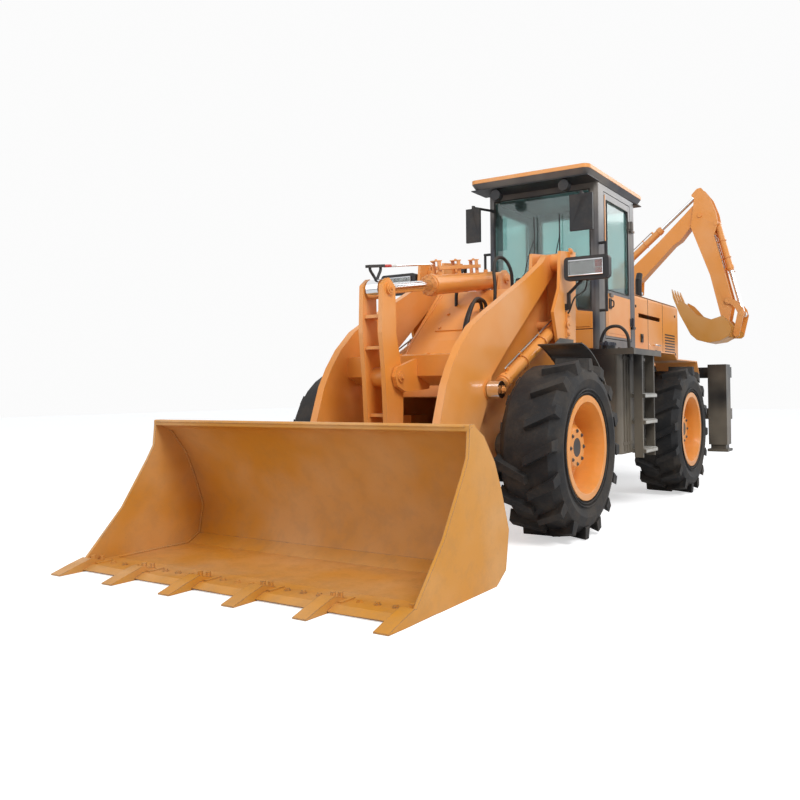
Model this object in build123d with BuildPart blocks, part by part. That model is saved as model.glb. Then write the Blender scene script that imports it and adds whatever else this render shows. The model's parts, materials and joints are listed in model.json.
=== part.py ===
"""Articulated backhoe loader: front loader on a hinged chassis, cab, and a side-shift backhoe.

Millimetres. +X points forward, +Y to the machine's left and +Z up. The origin is on the
ground, midway between the loader's tooth tips and the back of the folded backhoe.
Side outlines are (X, Z) points; outlines of the folded backhoe are (Y, Z) points.
"""
import os
from math import cos, pi, sin, sqrt

from build123d import *

os.makedirs("parts", exist_ok=True)

# ------------------------------------------------------------------ driving dimensions
# running gear
TYRE_RADIUS = 575          # to the tips of the lugs
TYRE_WIDTH = 404
TRACK = 1676               # between the wheels' middle planes
WHEELBASE = 2536
FRONT_AXLE_X = 1380
RIM_RADIUS = 334           # outside of the rim's flange
RIM_SEAT_RADIUS = 300      # where the tyre's bead sits
RIM_WIDTH = 370
RIM_WALL = 16
LUG_HEIGHT = 34
LUG_COUNT = 16             # on each side of the tread
HUB_RADIUS = 150
SPINDLE_RADIUS = 60
RUNNING_FIT = 0.05         # radial clearance of a shaft in its hole
SEAT_GAP = 0.3             # between curved faces that seat on each other
CLEAR = 6                  # between pieces that move past each other

AXLE_Z = TYRE_RADIUS
REAR_AXLE_X = FRONT_AXLE_X - WHEELBASE
PIVOT_X = FRONT_AXLE_X - WHEELBASE / 2
WHEEL_Y = TRACK / 2

# front frame and its tower
TOWER_OUT_Y = 620          # outer face of the outer tower plate
TOWER_PLATE = 24
TOWER_IN_Y = 395           # outer face of the inner tower plate
FRAME_PLATE = 25
TIE_FRONT = (460, 395)
ARM_PIVOT = (685, 1895)
TILT_BASE = (720, 1800)
LIFT_BASE = (755, 1420)

# loader arms, bellcrank, link and bucket
ARM_OUT_Y = 485
ARM_THICK = 52
LIFT_PIN = (1710, 950)
CRANK_PIVOT = (2160, 1033)
CRANK_TOP = (2225, 1570)
CRANK_LOW = (2200, 415)
BUCKET_PIN = (2530, 265)
LINK_PIN = (2600, 535)
PIN_RADIUS = 32
LIFT_CYL_Y = 541
LIFT_BARREL_RADIUS = 50
LIFT_ROD_RADIUS = 30
TILT_BARREL_RADIUS = 68
TILT_ROD_RADIUS = 35
CRANK_PLATE_Y = (58, 88)   # inner and outer face of each bellcrank plate
BUCKET_HALF = 1087
BUCKET_SIDE = 18
BUCKET_SHEET = 14
TOOTH_COUNT = 6

# cab
CAB_FRONT_X = -150
CAB_REAR_X = -1130
CAB_HALF = 520
CAB_WALL = 45
CAB_FLOOR_Z = 1262
CAB_TOP_Z = 2700
ROOF_TOP_Z = 2785
ROOF_FRONT_X = 127
ROOF_REAR_X = -1276
ROOF_HALF = 555
GLASS = 6
DOOR_FRONT_X = -310
DOOR_REAR_X = -985
DOOR_LOW_Z = 1385
DOOR_HIGH_Z = 2640
DOOR_THICK = 35
DOOR_GAP = 6
DOOR_HINGE_Y = CAB_HALF + 17
DOOR_HINGE_Z = (1560, 2460)
KNUCKLE_RADIUS = 15
DOOR_PIN_RADIUS = 9
SILL_Z = 1798              # lower edge of the side glass

# hood, engine and tanks
HOOD_FRONT_X = CAB_REAR_X - 8
HOOD_REAR_X = -2700
HOOD_HALF = 480
HOOD_TOP_Z = 1870
HOOD_LOW_Z = 1180.3       # seats on the rear frame
HOOD_SHEET = 12
TANK_IN_Y = 560
TANK_OUT_Y = 950
TANK_FRONT_X = 245
TANK_REAR_X = -470
TANK_TOP_Z = 1250
TANK_LOW_Z = 400

# rear frame
RAIL_Y = (300, 340)
REAR_FRAME_Z = (560, 880)
FRAME_REAR_X = -2760
TIE_REAR = (-2650, 640)
TIE_RADIUS = 22            # tie-down holes

# backhoe (outlines on the plane X = HOE_X, as (Y, Z))
HOE_X = -3421
SLIDE_X = (-3030, -2919)   # the two rails of the slide frame
SLIDE_HALF = 985
CARRIAGE_Y = -760
SWING_Y = CARRIAGE_Y
BOOM_FOOT = (-620, 1180)
BOOM_LUG = (-190, 2130)
BOOM_CYL_BASE = (-500, 840)
ELBOW = (590, 2990)
HORN_PIN = (528, 3242)
DIPPER_CYL_BASE = (-470, 2410)
BUCKET_CYL_BASE = (775, 2880)
LEVER_PIVOT = (890, 1960)
LEVER_PIN = (1050, 1800)
HOE_LINK_PIN = (990, 1560)
HOE_BUCKET_PIN = (865, 1711)
HOE_BUCKET_HALF = 200
BOOM_HALF = 75
DIPPER_HALF = 100
HOE_PLATE = 20
HOE_PIN_RADIUS = 25
LEG_X = (-2920, -2720)
LEG_Y = (795, 993)
LEG_TOP_Z = 1205
LEG_LOW_Z = 330
LEG_WALL = 16
LEG_GAP = 3


# ------------------------------------------------------------------ helpers
def plate(outline, low, high, mode=Mode.ADD, radius=0):
    """A flat plate between the planes Y = low and Y = high with an (X, Z) outline."""
    with BuildSketch(Plane.XZ.offset(-high)) as profile:
        with BuildLine():
            if radius:
                FilletPolyline(*outline, radius=radius, close=True)
            else:
                Polyline(*outline, close=True)
        make_face()
    extrude(profile.sketch, amount=high - low, mode=mode)


def hoe_plate(outline, low, high, mode=Mode.ADD, radius=0):
    """A flat plate of the folded backhoe: a (Y, Z) outline, from low to high about HOE_X."""
    with BuildSketch(Plane.YZ.offset(HOE_X + low)) as profile:
        with BuildLine():
            if radius:
                FilletPolyline(*outline, radius=radius, close=True)
            else:
                Polyline(*outline, close=True)
        make_face()
    extrude(profile.sketch, amount=high - low, mode=mode)


def bar(start, end, radius, mode=Mode.ADD):
    """A round bar from start to end."""
    axis = Vector(*end) - Vector(*start)
    with BuildSketch(Plane(origin=start, z_dir=axis.normalized())) as disc:
        Circle(radius)
    extrude(disc.sketch, amount=axis.length, mode=mode)


def boss(point, y_low, y_high, radius, mode=Mode.ADD):
    """A round bar along Y at an (X, Z) point."""
    bar((point[0], y_low, point[1]), (point[0], y_high, point[1]), radius, mode)


def hoe_boss(point, low, high, radius, mode=Mode.ADD):
    """A round bar along X at a (Y, Z) point of the folded backhoe."""
    bar((HOE_X + low, point[0], point[1]), (HOE_X + high, point[0], point[1]), radius, mode)


def block(x, y, z, mode=Mode.ADD):
    """A box from its (low, high) limits on each axis."""
    with BuildSketch(Plane.XY.offset(z[0])) as base:
        with Locations(((x[0] + x[1]) / 2, (y[0] + y[1]) / 2)):
            Rectangle(x[1] - x[0], y[1] - y[0])
    extrude(base.sketch, amount=z[1] - z[0], mode=mode)


def sided(side, low, high):
    """Limits on Y of a feature of the left (1) or right (-1) side, in rising order."""
    return (low, high) if side > 0 else (-high, -low)


def along(start, end, distance):
    """The point that lies a distance from start towards end."""
    step = Vector(*end) - Vector(*start)
    return tuple(Vector(*start) + step.normalized() * distance)


def finish(builder, name):
    """Label a finished sub-part and write its STEP file."""
    builder.part.label = name
    export_step(builder.part, f"parts/{name}.step")


# ------------------------------------------------------------------ wheels
WHEELS = (                 # name, X of the axle, side
    ("front_left", FRONT_AXLE_X, 1),
    ("front_right", FRONT_AXLE_X, -1),
    ("rear_left", REAR_AXLE_X, 1),
    ("rear_right", REAR_AXLE_X, -1),
)
BEAD_HALF = RIM_WIDTH / 2 - RIM_WALL
DISC_OFFSET = -40          # the disc's outer face from the wheel's middle plane
DISC_THICK = 20
HUB_DEPTH = 150

HALF = TYRE_WIDTH / 2
TYRE_SIDES = 2 * LUG_COUNT  # flats around the carcass
CARCASS = (                # across from the middle, radius: from the bead to the edge of the tread
    (BEAD_HALF, RIM_RADIUS + 8),
    (HALF, RIM_RADIUS + 104),
    (HALF - 0.45 * LUG_HEIGHT, TYRE_RADIUS - 60 - 0.6 * LUG_HEIGHT),
    (HALF - 60, TYRE_RADIUS - 8 - LUG_HEIGHT),
)
LUG = (                    # across from the middle, along the tread: one lug's foot
    (-8, -86), (HALF - 6, 12), (HALF - 6, 86), (-8, -22),
)
LUG_REACH = 78             # from a lug's middle to the corners of its top, along the tread

with BuildPart() as tyre_form:
    for side in (1, -1):
        for index in range(LUG_COUNT):
            turn = 2 * pi / LUG_COUNT * (index + (0.5 if side < 0 else 0))
            outwards = Vector(sin(turn), 0, -cos(turn))
            foot = TYRE_RADIUS - LUG_HEIGHT - 50
            with BuildSketch(Plane(outwards * foot, x_dir=(0, 1, 0), z_dir=outwards)) as lug:
                with BuildLine():
                    Polyline(*[(side * across, along_tread) for across, along_tread in LUG], close=True)
                make_face()
            extrude(lug.sketch, amount=sqrt(TYRE_RADIUS ** 2 - LUG_REACH ** 2) - foot, taper=5)
    with BuildPart(mode=Mode.PRIVATE) as carcass:
        for across, radius in [(-a, r) for a, r in CARCASS] + list(reversed(CARCASS)):
            with BuildSketch(Plane((0, across, 0), x_dir=(0, 0, -1), z_dir=(0, 1, 0))):
                RegularPolygon(radius, TYRE_SIDES)
        loft(ruled=True)
    add(carcass.part)
    bar((0, -TYRE_WIDTH, 0), (0, TYRE_WIDTH, 0), RIM_SEAT_RADIUS + SEAT_GAP, Mode.SUBTRACT)

for name, axle_x, side in WHEELS:
    centre_y = side * WHEEL_Y
    wheel_axis = Axis((axle_x, centre_y, AXLE_Z), (0, 1, 0))

    with BuildPart() as tyre:
        add(tyre_form.part.moved(Location((axle_x, centre_y, AXLE_Z))))
    finish(tyre, f"tyre_{name}")

    with BuildPart() as rim:
        with BuildSketch(Plane((axle_x, centre_y, AXLE_Z), x_dir=(0, side, 0), z_dir=(-side, 0, 0))):
            with BuildLine():
                Polyline(
                    (RIM_WIDTH / 2, RIM_RADIUS), (BEAD_HALF + 1, RIM_RADIUS), (BEAD_HALF + 1, RIM_SEAT_RADIUS),
                    (-BEAD_HALF - 1, RIM_SEAT_RADIUS), (-BEAD_HALF - 1, RIM_RADIUS), (-RIM_WIDTH / 2, RIM_RADIUS),
                    (-RIM_WIDTH / 2, RIM_SEAT_RADIUS - RIM_WALL), (DISC_OFFSET - DISC_THICK, RIM_SEAT_RADIUS - 30),
                    (DISC_OFFSET - DISC_THICK, SPINDLE_RADIUS + RUNNING_FIT),
                    (DISC_OFFSET + HUB_DEPTH, SPINDLE_RADIUS + RUNNING_FIT),
                    (DISC_OFFSET + HUB_DEPTH, HUB_RADIUS - 30), (DISC_OFFSET + HUB_DEPTH - 30, HUB_RADIUS),
                    (DISC_OFFSET, HUB_RADIUS + 12), (DISC_OFFSET, 225), (DISC_OFFSET + 45, RIM_SEAT_RADIUS - 32),
                    (RIM_WIDTH / 2 - 60, RIM_SEAT_RADIUS - 26), (RIM_WIDTH / 2, RIM_SEAT_RADIUS - 8), close=True,
                )
            make_face()
        revolve(axis=wheel_axis)
    finish(rim, f"rim_{name}")

# ------------------------------------------------------------------ axles
AXLES = (                  # name, X, radius of the differential's bowl, length of its input towards the pivot
    ("front_axle", FRONT_AXLE_X, 185, -260),
    ("rear_axle", REAR_AXLE_X, 185, 260),
)
AXLE_ARM_RADIUS = 85
AXLE_PLANE_Y = WHEEL_Y + DISC_OFFSET - DISC_THICK
SPINDLE_END_Y = WHEEL_Y + DISC_OFFSET + HUB_DEPTH
for name, axle_x, bowl, input_x in AXLES:
    with BuildPart() as axle:
        with BuildSketch(Plane((axle_x, 0, AXLE_Z), x_dir=(0, 1, 0), z_dir=(-1, 0, 0))):
            with BuildLine():
                Polyline(
                    (0, 0), (0, bowl), (70, bowl), (150, bowl * 0.72), (250, AXLE_ARM_RADIUS), (480, 78), (520, 105),
                    (560, 150), (AXLE_PLANE_Y - CLEAR, 150), (AXLE_PLANE_Y - CLEAR, SPINDLE_RADIUS),
                    (SPINDLE_END_Y, SPINDLE_RADIUS), (SPINDLE_END_Y, 0), close=True,
                )
            make_face()
        revolve(axis=Axis((axle_x, 0, AXLE_Z), (0, 1, 0)))
        mirror(about=Plane.XZ)
        bar((axle_x, 0, AXLE_Z), (axle_x + input_x, 0, AXLE_Z), 70)
    finish(axle, name)

# ------------------------------------------------------------------ front frame
TOWER_OUTLINE = (
    (570, 1980), (850, 1950), (875, 1678), (985, 1496), (905, 1258), (590, 1278),
)
INNER_OUTLINE = (
    (570, 1980), (850, 1950), (880, 1730), (1300, 1300), (1620, 900), (1700, 620), (1560, 440),
    (420, 440), (330, 560), (330, 1080), (540, 1180),
)
CHASSIS_LUG_Z = (560, 1000)     # middle of the lower and upper articulation lugs
LUG_THICK = 40
LUG_RADIUS = 95
HINGE_PIN_RADIUS = 40

with BuildPart() as front_frame:
    for side in (1, -1):
        plate(INNER_OUTLINE, *sided(side, TOWER_IN_Y - FRAME_PLATE, TOWER_IN_Y))
        # clearance holes for the pins that the towers carry
        for pin in (ARM_PIVOT, LIFT_BASE):
            boss(pin, *sided(side, TOWER_IN_Y - FRAME_PLATE - 1, TOWER_IN_Y + 1), PIN_RADIUS + SEAT_GAP, Mode.SUBTRACT)
    # sloping cover between the inner plates, rear wall and floor
    inside = TOWER_IN_Y - FRAME_PLATE + 1
    plate(((848, 1690), (866, 1706), (1310, 1306), (1290, 1290)), -inside, inside)
    plate(((1290, 1290), (1310, 1306), (1630, 906), (1610, 900)), -inside, inside)
    plate(((600, 1085), (600, 1560), (625, 1560), (625, 1085)), -inside, inside)
    plate(((350, 1040), (350, 1060), (626, 1105), (626, 1085)), -inside, inside)
    plate(((420, 440), (1560, 440), (1560, 465), (420, 465)), -inside, inside)
    plate(((1560, 440), (1700, 620), (1680, 632), (1545, 462)), -inside, inside)
    plate(((569, 1655), (860, 1665), (860, 1690), (569, 1680)), -inside, inside)
    # two lugs for the tilt cylinder's base pin
    for side in (1, -1):
        plate(
            ((640, 1670), (830, 1680), (790, 1840), (720, 1872), (650, 1840)), *sided(side, 76, 104), radius=12,
        )
    boss(TILT_BASE, -104 - 14, 104 + 14, PIN_RADIUS)
    # articulation: two forked lugs with the hinge pins
    for lug_z in CHASSIS_LUG_Z:
        with BuildSketch(Plane.XY.offset(lug_z - LUG_THICK / 2)) as lug:
            with BuildLine():
                Polyline((360, -330), (360, 330), (PIVOT_X + 40, LUG_RADIUS), (PIVOT_X, LUG_RADIUS),
                         (PIVOT_X, -LUG_RADIUS), (PIVOT_X + 40, -LUG_RADIUS), close=True)
            make_face()
            with Locations((PIVOT_X, 0)):
                Circle(LUG_RADIUS)
        extrude(lug.sketch, amount=LUG_THICK)
        bar((PIVOT_X, 0, lug_z - 110), (PIVOT_X, 0, lug_z + 110), HINGE_PIN_RADIUS)
    plate(((330, 520), (370, 520), (370, 1060), (330, 1060)), -inside, inside)
    # saddle over the axle
    for side in (1, -1):
        block((FRONT_AXLE_X - 110, FRONT_AXLE_X + 110), sided(side, 260, TOWER_IN_Y - 20), (AXLE_Z + 70, AXLE_Z + 200))
    # the axle's housing passes through the frame
    bar((FRONT_AXLE_X, -700, AXLE_Z), (FRONT_AXLE_X, 700, AXLE_Z), AXLE_ARM_RADIUS + SEAT_GAP, Mode.SUBTRACT)
    bar((FRONT_AXLE_X, -260, AXLE_Z), (FRONT_AXLE_X, 260, AXLE_Z), 190, Mode.SUBTRACT)
finish(front_frame, "front_frame")

# outer plates of the arms' towers, each with the webs at its back and foot and both pins
for side, word in ((1, "left"), (-1, "right")):
    with BuildPart() as tower:
        web = sided(side, TOWER_IN_Y + SEAT_GAP, TOWER_OUT_Y - 1)
        plate(TOWER_OUTLINE, *sided(side, TOWER_OUT_Y - TOWER_PLATE, TOWER_OUT_Y))
        plate(((570, 1980), (592, 1978), (612, 1278), (590, 1278)), *web)
        plate(((600, 1300), (700, 1293), (700, 1273), (600, 1279)), *web)
        # the arm's pivot pin and the lift cylinder's base pin, with their keeper plates
        for pin in (ARM_PIVOT, LIFT_BASE):
            boss(pin, *sided(side, TOWER_IN_Y - 60, TOWER_OUT_Y + 8), PIN_RADIUS)
            block((pin[0] - 22, pin[0] + 22), sided(side, TOWER_OUT_Y, TOWER_OUT_Y + 14), (pin[1] - 95, pin[1] + 95))
    finish(tower, f"tower_{word}")

# tie-down lugs under the inner plates
with BuildPart() as tie_lugs:
    for side in (1, -1):
        plate(
            ((400, 440 - SEAT_GAP), (520, 440 - SEAT_GAP), (505, 352), (415, 352)),
            *sided(side, TOWER_IN_Y - FRAME_PLATE, TOWER_IN_Y),
        )
    boss(TIE_FRONT, -TOWER_OUT_Y, TOWER_OUT_Y, TIE_RADIUS, Mode.SUBTRACT)
finish(tie_lugs, "tie_lugs")

# fenders behind the front tyres
FENDER_RADIUS = 690
FENDER_SHEET = 8
FENDER_Y = (TOWER_OUT_Y + SEAT_GAP, 940)
with BuildPart() as front_fenders:
    for side in (1, -1):
        with BuildSketch(Plane.XZ.offset(-sided(side, *FENDER_Y)[1])) as fender:
            with Locations((FRONT_AXLE_X, AXLE_Z)):
                Circle(FENDER_RADIUS)
                Circle(FENDER_RADIUS - FENDER_SHEET, mode=Mode.SUBTRACT)
            with Locations((FRONT_AXLE_X - 120 + 1000, AXLE_Z)):
                Rectangle(2000, 2000, mode=Mode.SUBTRACT)
            with Locations((FRONT_AXLE_X, AXLE_Z + 190 - 1000)):
                Rectangle(3000, 2000, mode=Mode.SUBTRACT)
        extrude(fender.sketch, amount=FENDER_Y[1] - FENDER_Y[0])
        plate(
            ((650, 1315), (895, 1315), (1000, 1265), (1165, 1237), (1165, 1222), (1000, 1144), (850, 1008),
             (760, 868), (752, 872), (690, 1000)),
            *sided(side, TOWER_OUT_Y + SEAT_GAP, TOWER_OUT_Y + SEAT_GAP + FENDER_SHEET),
        )
finish(front_fenders, "front_fenders")

# headlamps on their bent brackets
LAMP_Y = 815
LAMP_SIZE = (110, 340, 168)     # along X, Y and Z
LAMP_CENTRE = (800, 1812)
with BuildPart() as headlamps:
    for side in (1, -1):
        y = side * LAMP_Y
        # housing in steps, from the narrow back to the lens
        for step, shrink in ((-LAMP_SIZE[0] / 2, 44), (-LAMP_SIZE[0] / 4, 20), (0, 0)):
            with BuildSketch(Plane((LAMP_CENTRE[0] + step, y, LAMP_CENTRE[1]), x_dir=(0, 1, 0), z_dir=(1, 0, 0))) as face:
                RectangleRounded(LAMP_SIZE[1] - shrink, LAMP_SIZE[2] - shrink, 30)
            extrude(face.sketch, amount=LAMP_SIZE[0] / 4 + 1)
        with BuildSketch(Plane((LAMP_CENTRE[0], y, LAMP_CENTRE[1]), x_dir=(0, 1, 0), z_dir=(1, 0, 0))) as face:
            RectangleRounded(LAMP_SIZE[1], LAMP_SIZE[2], 30)
        extrude(face.sketch, amount=LAMP_SIZE[0] / 2)
        bar((780, side * 760, 1740), (770, side * 645, 1645), 12)
        block((758, 782), sided(side, 634, 656), (1530, 1652))
        block((750, 790), sided(side, TOWER_OUT_Y + SEAT_GAP, 635), (1525, 1570))
finish(headlamps, "headlamps")

# ------------------------------------------------------------------ loader arms
ARM_OUTLINE = (
    (666, 1965), (791, 1939), (863, 1877), (1117, 1737), (1426, 1586), (1707, 1450), (1901, 1347),
    (2047, 1218), (2142, 1096), (2211, 978), (2302, 722), (2410, 485), (2545, 332), (2592, 290),
    (2590, 235), (2530, 203), (2400, 240), (2100, 420), (1900, 560), (1826, 699), (1719, 871), (1662, 1036),
    (1435, 1225), (1124, 1462), (797, 1716), (640, 1840), (616, 1900),
)
BEAM_X = (1760, 1980)
BEAM_Z = (1010, 1190)
with BuildPart() as lift_arms:
    for side in (1, -1):
        arm = sided(side, ARM_OUT_Y - ARM_THICK, ARM_OUT_Y)
        plate(ARM_OUTLINE, *arm)
        boss(ARM_PIVOT, *sided(side, TOWER_IN_Y + 4, TOWER_OUT_Y - TOWER_PLATE - 4), 66)
        boss(LIFT_PIN, *sided(side, ARM_OUT_Y - 1, ARM_OUT_Y + 8), 62)
        boss(BUCKET_PIN, *sided(side, ARM_OUT_Y - ARM_THICK - 12, ARM_OUT_Y + 12), 62)
    inner = ARM_OUT_Y - ARM_THICK + 1
    plate(
        ((BEAM_X[0], BEAM_Z[1]), (BEAM_X[1], BEAM_Z[1] - 20), (BEAM_X[1], BEAM_Z[0] + 30), (BEAM_X[0] + 60, BEAM_Z[0] - 30),
         (BEAM_X[0] - 40, BEAM_Z[0] + 30)), -inner, inner,
    )
    for side in (1, -1):
        plate(
            ((1830, 1195), (2120, 1110), (2190, 1090), (2215, 1033), (2190, 975), (2100, 940), (1840, 960)),
            *sided(side, CRANK_PLATE_Y[1] + CLEAR, CRANK_PLATE_Y[1] + CLEAR + 30), radius=10,
        )
        boss(CRANK_PIVOT, *sided(side, 0, CRANK_PLATE_Y[1] + CLEAR + 40), PIN_RADIUS)
    for side in (1, -1):
        boss(ARM_PIVOT, *sided(side, TOWER_IN_Y - 80, TOWER_OUT_Y + 20), PIN_RADIUS + RUNNING_FIT, Mode.SUBTRACT)
        boss(BUCKET_PIN, *sided(side, ARM_OUT_Y - ARM_THICK - 40, ARM_OUT_Y + 40), PIN_RADIUS + RUNNING_FIT, Mode.SUBTRACT)
finish(lift_arms, "lift_arms")

# bellcrank: two curved plates with webs between them
CRANK_OUTLINE = (
    (2160, 1590), (2225, 1640), (2290, 1590), (2300, 1300), (2270, 1033), (2250, 700), (2268, 420),
    (2205, 345), (2130, 400), (2085, 700), (2080, 950), (2100, 1100), (2150, 1300),
)
with BuildPart() as bellcrank:
    for side in (1, -1):
        plate(CRANK_OUTLINE, *sided(side, *CRANK_PLATE_Y), radius=18)
    boss(CRANK_PIVOT, -CRANK_PLATE_Y[1], CRANK_PLATE_Y[1], 62)
    for z, x_low, x_high in ((1400, 2170, 2280), (1210, 2145, 2275), (800, 2110, 2230)):
        block((x_low, x_high), (-CRANK_PLATE_Y[0] - 1, CRANK_PLATE_Y[0] + 1), (z - 10, z + 10))
    boss(CRANK_PIVOT, -200, 200, PIN_RADIUS + RUNNING_FIT, Mode.SUBTRACT)
    for side in (1, -1):
        boss(CRANK_TOP, *sided(side, CRANK_PLATE_Y[0] + 1, CRANK_PLATE_Y[1] + 16), PIN_RADIUS + 4)
    boss(CRANK_LOW, -CRANK_PLATE_Y[1] - 12, CRANK_PLATE_Y[1] + 12, PIN_RADIUS)
finish(bellcrank, "bellcrank")

# link from the bellcrank's foot to the bucket
with BuildPart() as tilt_link:
    boss(CRANK_LOW, -42, 42, 62)
    boss(LINK_PIN, -42, 42, 62)
    link_axis = Vector(LINK_PIN[0] - CRANK_LOW[0], LINK_PIN[1] - CRANK_LOW[1])
    across = Vector(-link_axis.Y, link_axis.X).normalized() * 42
    plate(
        ((CRANK_LOW[0] + across.X, CRANK_LOW[1] + across.Y), (LINK_PIN[0] + across.X, LINK_PIN[1] + across.Y),
         (LINK_PIN[0] - across.X, LINK_PIN[1] - across.Y), (CRANK_LOW[0] - across.X, CRANK_LOW[1] - across.Y)), -30, 30,
    )
    boss(CRANK_LOW, -60, 60, PIN_RADIUS + RUNNING_FIT, Mode.SUBTRACT)
finish(tilt_link, "tilt_link")

# ------------------------------------------------------------------ loader bucket
SIDE_OUTLINE = (
    (2940, 783), (2983, 769), (2995, 640), (3040, 560), (3206, 301), (3443, 40), (3443, 14),
    (3250, 0), (2740, 0), (2640, 60), (2605, 254), (2680, 459), (2745, 600), (2850, 730),
)
SHEET_OUTER = (                 # back and floor of the shell, from the lip down to the edge
    (2975, 785), (2860, 735), (2750, 600), (2684, 459), (2610, 254), (2645, 62), (2742, 2), (3443, 2),
)
SHEET_INNER = (
    (3443, 2 + BUCKET_SHEET + 8), (2750, 24), (2662, 74), (2630, 250), (2702, 452), (2766, 590), (2868, 718), (2975, 765),
)
TOOTH_TIP_X = 3621
with BuildPart() as bucket:
    plate(SHEET_OUTER + SHEET_INNER, -BUCKET_HALF + 1, BUCKET_HALF - 1)
    for side in (1, -1):
        plate(SIDE_OUTLINE, *sided(side, BUCKET_HALF - BUCKET_SIDE, BUCKET_HALF))
    # rim along the lip
    plate(((2930, 790), (2985, 790), (2985, 755), (2930, 762)), -BUCKET_HALF + 1, BUCKET_HALF - 1, radius=8)
    # bevelled cutting edge
    plate(((3250, 1), (3475, 1), (3490, 10), (3440, 30), (3250, 30)), -BUCKET_HALF + 1, BUCKET_HALF - 1)
    # teeth, evenly spaced from corner to corner
    tooth_half = 38
    pitch = 2 * (BUCKET_HALF - tooth_half) / (TOOTH_COUNT - 1)
    for index in range(TOOTH_COUNT):
        y = -BUCKET_HALF + tooth_half + index * pitch
        plate(
            ((3330, 30), (3440, 62), (3520, 40), (TOOTH_TIP_X, 8), (TOOTH_TIP_X, 2), (3480, 0), (3400, 1), (3330, 1)),
            y - tooth_half, y + tooth_half,
        )
    # lugs for the arms and for the link, on the back
    for side in (1, -1):
        for inner_face in (ARM_OUT_Y - ARM_THICK - 12 - CLEAR - 25, ARM_OUT_Y + 12 + CLEAR):
            plate(
                ((2458, 262), (2492, 205), (2560, 148), (2652, 68), (2618, 252), (2692, 458), (2600, 440), (2490, 335)),
                *sided(side, inner_face, inner_face + 25), radius=8,
            )
        plate(
            ((2535, 560), (2590, 610), (2650, 606), (2752, 596), (2692, 456), (2618, 252), (2560, 440)),
            *sided(side, 50, 80), radius=8,
        )
    for side in (1, -1):
        boss(BUCKET_PIN, *sided(side, ARM_OUT_Y - ARM_THICK - 60, ARM_OUT_Y + 60), PIN_RADIUS)
        boss(LINK_PIN, *sided(side, 51, 92), PIN_RADIUS)
finish(bucket, "bucket")


# ------------------------------------------------------------------ hydraulic cylinders
def cylinder_parts(base, tip, barrel_length, barrel_radius, rod_radius, rod_length, eye):
    """Barrel and rod of a cylinder between two 3-D points.

    eye is (half width at the base, half width at the rod, radius, axis of the pins).
    """
    base_half, rod_half, eye_radius, pin_axis = eye
    pin_axis = Vector(*pin_axis)
    total = (Vector(*tip) - Vector(*base)).length
    with BuildPart() as barrel:
        bar(along(base, tip, eye_radius * 0.6), along(base, tip, barrel_length), barrel_radius)
        bar(along(base, tip, barrel_length - 60), along(base, tip, barrel_length - 18), barrel_radius + 6)
        bar(along(base, tip, barrel_length - 19), along(base, tip, barrel_length), barrel_radius - 6)
        bar(tuple(Vector(*base) - pin_axis * base_half), tuple(Vector(*base) + pin_axis * base_half), eye_radius)
        bar(along(base, tip, eye_radius * 1.35), along(base, tip, barrel_length + 20), rod_radius + RUNNING_FIT,
            Mode.SUBTRACT)
    with BuildPart() as rod:
        bar(along(base, tip, total - rod_length), along(base, tip, total - eye_radius * 0.6), rod_radius)
        bar(tuple(Vector(*tip) - pin_axis * rod_half), tuple(Vector(*tip) + pin_axis * rod_half), eye_radius)
    return barrel, rod


def bored(builder, point, pin_axis, radius):
    """Bore a barrel's base eye for its pin."""
    reach = Vector(*pin_axis) * 200
    bar(tuple(Vector(*point) - reach), tuple(Vector(*point) + reach), radius + RUNNING_FIT, Mode.SUBTRACT)


LIFT_REST = (Vector(*LIFT_PIN) - Vector(*LIFT_BASE)).length
for side, word in ((1, "left"), (-1, "right")):
    base = (LIFT_BASE[0], side * LIFT_CYL_Y, LIFT_BASE[1])
    tip = (LIFT_PIN[0], side * LIFT_CYL_Y, LIFT_PIN[1])
    barrel, rod = cylinder_parts(
        base, tip, LIFT_REST - 85, LIFT_BARREL_RADIUS - 6, LIFT_ROD_RADIUS, 940, (40, 40, 55, (0, 1, 0))
    )
    with barrel:
        bored(barrel, base, (0, 1, 0), PIN_RADIUS)
    finish(barrel, f"lift_barrel_{word}")
    finish(rod, f"lift_rod_{word}")

base = (TILT_BASE[0], 0, TILT_BASE[1])
tip = (CRANK_TOP[0], 0, CRANK_TOP[1])
tilt_barrel, tilt_rod = cylinder_parts(base, tip, 945, TILT_BARREL_RADIUS, TILT_ROD_RADIUS, 1080, (66, 44, 60, (0, 1, 0)))
with tilt_barrel:
    bored(tilt_barrel, base, (0, 1, 0), PIN_RADIUS)
finish(tilt_barrel, "tilt_barrel")
finish(tilt_rod, "tilt_rod")

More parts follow.
